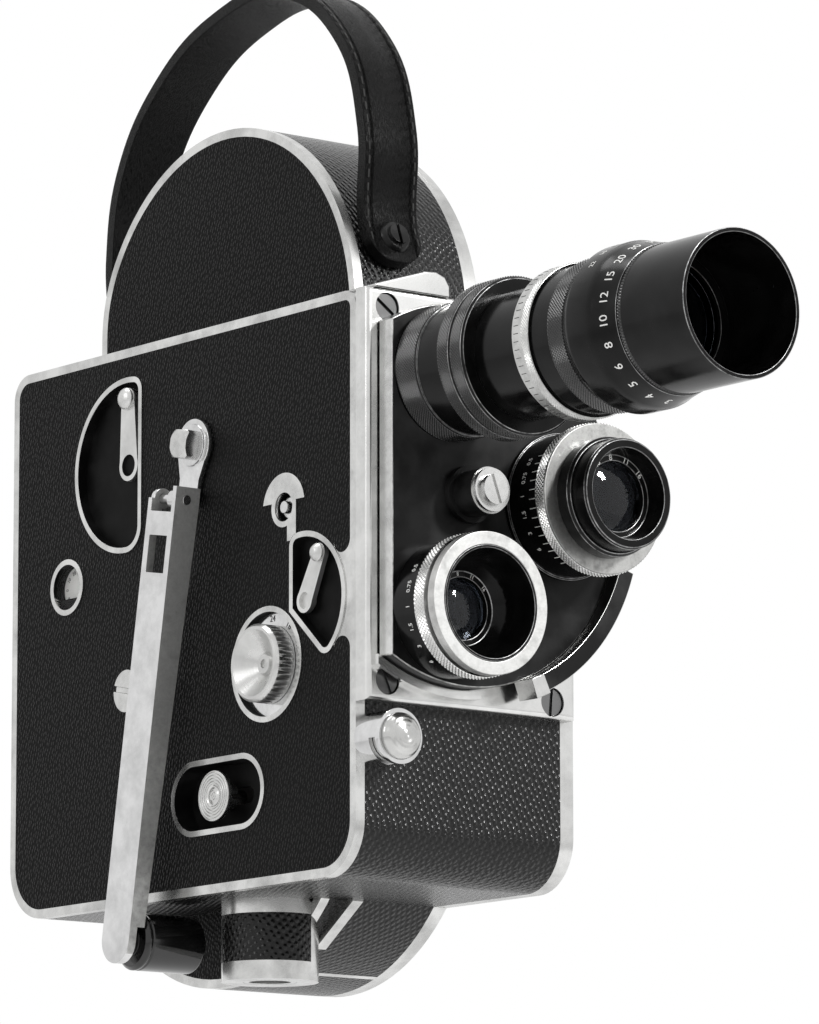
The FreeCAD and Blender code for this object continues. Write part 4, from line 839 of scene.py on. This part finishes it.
def edit_picked(piece, chosen, action):
    """Run one edit-mode action on the edges whose two ends pass a test."""
    bpy.ops.object.mode_set(mode="EDIT")
    bpy.ops.mesh.select_mode(type="EDGE")
    bpy.ops.mesh.select_all(action="DESELECT")
    bpy.ops.object.mode_set(mode="OBJECT")
    for edge in piece.data.edges:
        if chosen(*(piece.data.vertices[i].co for i in edge.vertices)):
            edge.select = True
    bpy.ops.object.mode_set(mode="EDIT")
    action()
    bpy.ops.object.mode_set(mode="OBJECT")


def at_foot_corner(a, b):
    """Edge through the thickness, at a corner of a foot."""
    return abs(a.x - b.x) < 1e-6 and abs(a.z - b.z) < 1e-6


foot_round = 0.0070
edit_picked(band, at_foot_corner, lambda: bpy.ops.mesh.bevel(offset=foot_round, segments=8, affect="EDGES"))
bpy.ops.object.mode_set(mode="EDIT")
steps = 90
for i in range(1, steps):
    bpy.ops.mesh.select_all(action="SELECT")
    bpy.ops.mesh.bisect(plane_co=(length * i / steps, 0, 0), plane_no=(1, 0, 0))
crease_inset = 0.0021
crease = strap_w / 2 - crease_inset
groove = 0.0004
for z in (-crease - groove, -crease, -crease + groove, 0, crease - groove, crease, crease + groove):
    bpy.ops.mesh.select_all(action="SELECT")
    bpy.ops.mesh.bisect(plane_co=(0, 0, z), plane_no=(0, 0, 1))
bpy.ops.object.mode_set(mode="OBJECT")


def on_crease(a, b):
    """Edge on the outer side that lies in one of the two pressed creases."""
    return abs(abs(a.z) - crease) < 1e-5 and abs(abs(b.z) - crease) < 1e-5 and a.y > 0


def on_crown(a, b):
    """Edge on the outer side that lies along the middle of the band."""
    return abs(a.z) < 1e-5 and abs(b.z) < 1e-5 and a.y > 0 and b.y > 0


crown = 0.0003
rubbed = 0.0008
edit_picked(band, on_crease, lambda: bpy.ops.transform.translate(value=(0, -groove, 0)))
edit_picked(band, on_crown, lambda: bpy.ops.transform.translate(value=(0, crown, 0)))
soften = band.modifiers.new("rubbed_edges", "BEVEL")
soften.width = rubbed
soften.segments = 3
soften.limit_method = "ANGLE"
soften.angle_limit = math.radians(60)
bpy.ops.object.modifier_apply(modifier="rubbed_edges")

stitch_pitch = 0.0032
stitch_length = 0.0021
stitch_end = 0.0002
thread_r = 0.00028
thread_sunk = 0.00012
seam_start = 0.006
seam_z = crease + 0.0010
bpy.ops.object.select_all(action="DESELECT")
bpy.ops.mesh.primitive_cylinder_add(
    vertices=8, radius=thread_r, depth=stitch_length, rotation=(0, math.pi / 2, 0),
    location=(seam_start, strap_t / 2 - thread_sunk, seam_z))
thread = bpy.context.active_object
thread.name = "strap_thread"
bpy.ops.object.transform_apply(location=True, rotation=True, scale=True)
edit_picked(thread, lambda a, b: abs(a.x - b.x) < 1e-6,
            lambda: bpy.ops.mesh.bevel(offset=stitch_end, segments=2, affect="EDGES"))
seam = thread.modifiers.new("seam", "ARRAY")
seam.use_relative_offset = False
seam.use_constant_offset = True
seam.constant_offset_displace = (stitch_pitch, 0, 0)
seam.count = int((length - 2 * seam_start) / stitch_pitch)
bpy.ops.object.modifier_apply(modifier="seam")
both_edges = thread.modifiers.new("both_edges", "MIRROR")
both_edges.use_axis = (False, False, True)
bpy.ops.object.modifier_apply(modifier="both_edges")

lay_cloth(band, lambda point, centre, normal: (point.x, point.z + point.y))
strap_hide = leather_cloth("strap_hide", cell=0.0014, angle=20, lift=0.00022, shade=0.004, gloss=0.15,
                           sheen=0.10, random=0.9)
thread_black = enamelled("waxed_thread", (0.02, 0.02, 0.019), 0.5)
stand_up = Matrix(((0, 0, 1), (1, 0, 0), (0, 1, 0))).to_4x4()
for piece, material in ((band, strap_hide), (thread, thread_black)):
    bpy.ops.object.select_all(action="DESELECT")
    piece.select_set(True)
    bpy.context.view_layer.objects.active = piece
    bend = piece.modifiers.new("bend", "CURVE")
    bend.object = strap_line
    bend.deform_axis = "POS_X"
    bpy.ops.object.modifier_apply(modifier="bend")
    piece.data.transform(Matrix.Translation((strap_x, dome_y, dome_z)) @ stand_up)
    bpy.ops.object.mode_set(mode="EDIT")
    bpy.ops.mesh.select_all(action="SELECT")
    bpy.ops.mesh.normals_make_consistent(inside=False)
    bpy.ops.object.mode_set(mode="OBJECT")
    bpy.ops.object.shade_smooth_by_angle(angle=math.radians(40))
    piece.data.materials.append(material)
    ride_with(piece, "strap")
bpy.data.objects.remove(strap_line)
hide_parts("strap")
strap_black = enamelled("screw_enamel", (0.006, 0.006, 0.006), 0.25, sheen=0.2)
finish_solid("strap_screws", strap_black, 0.0003)
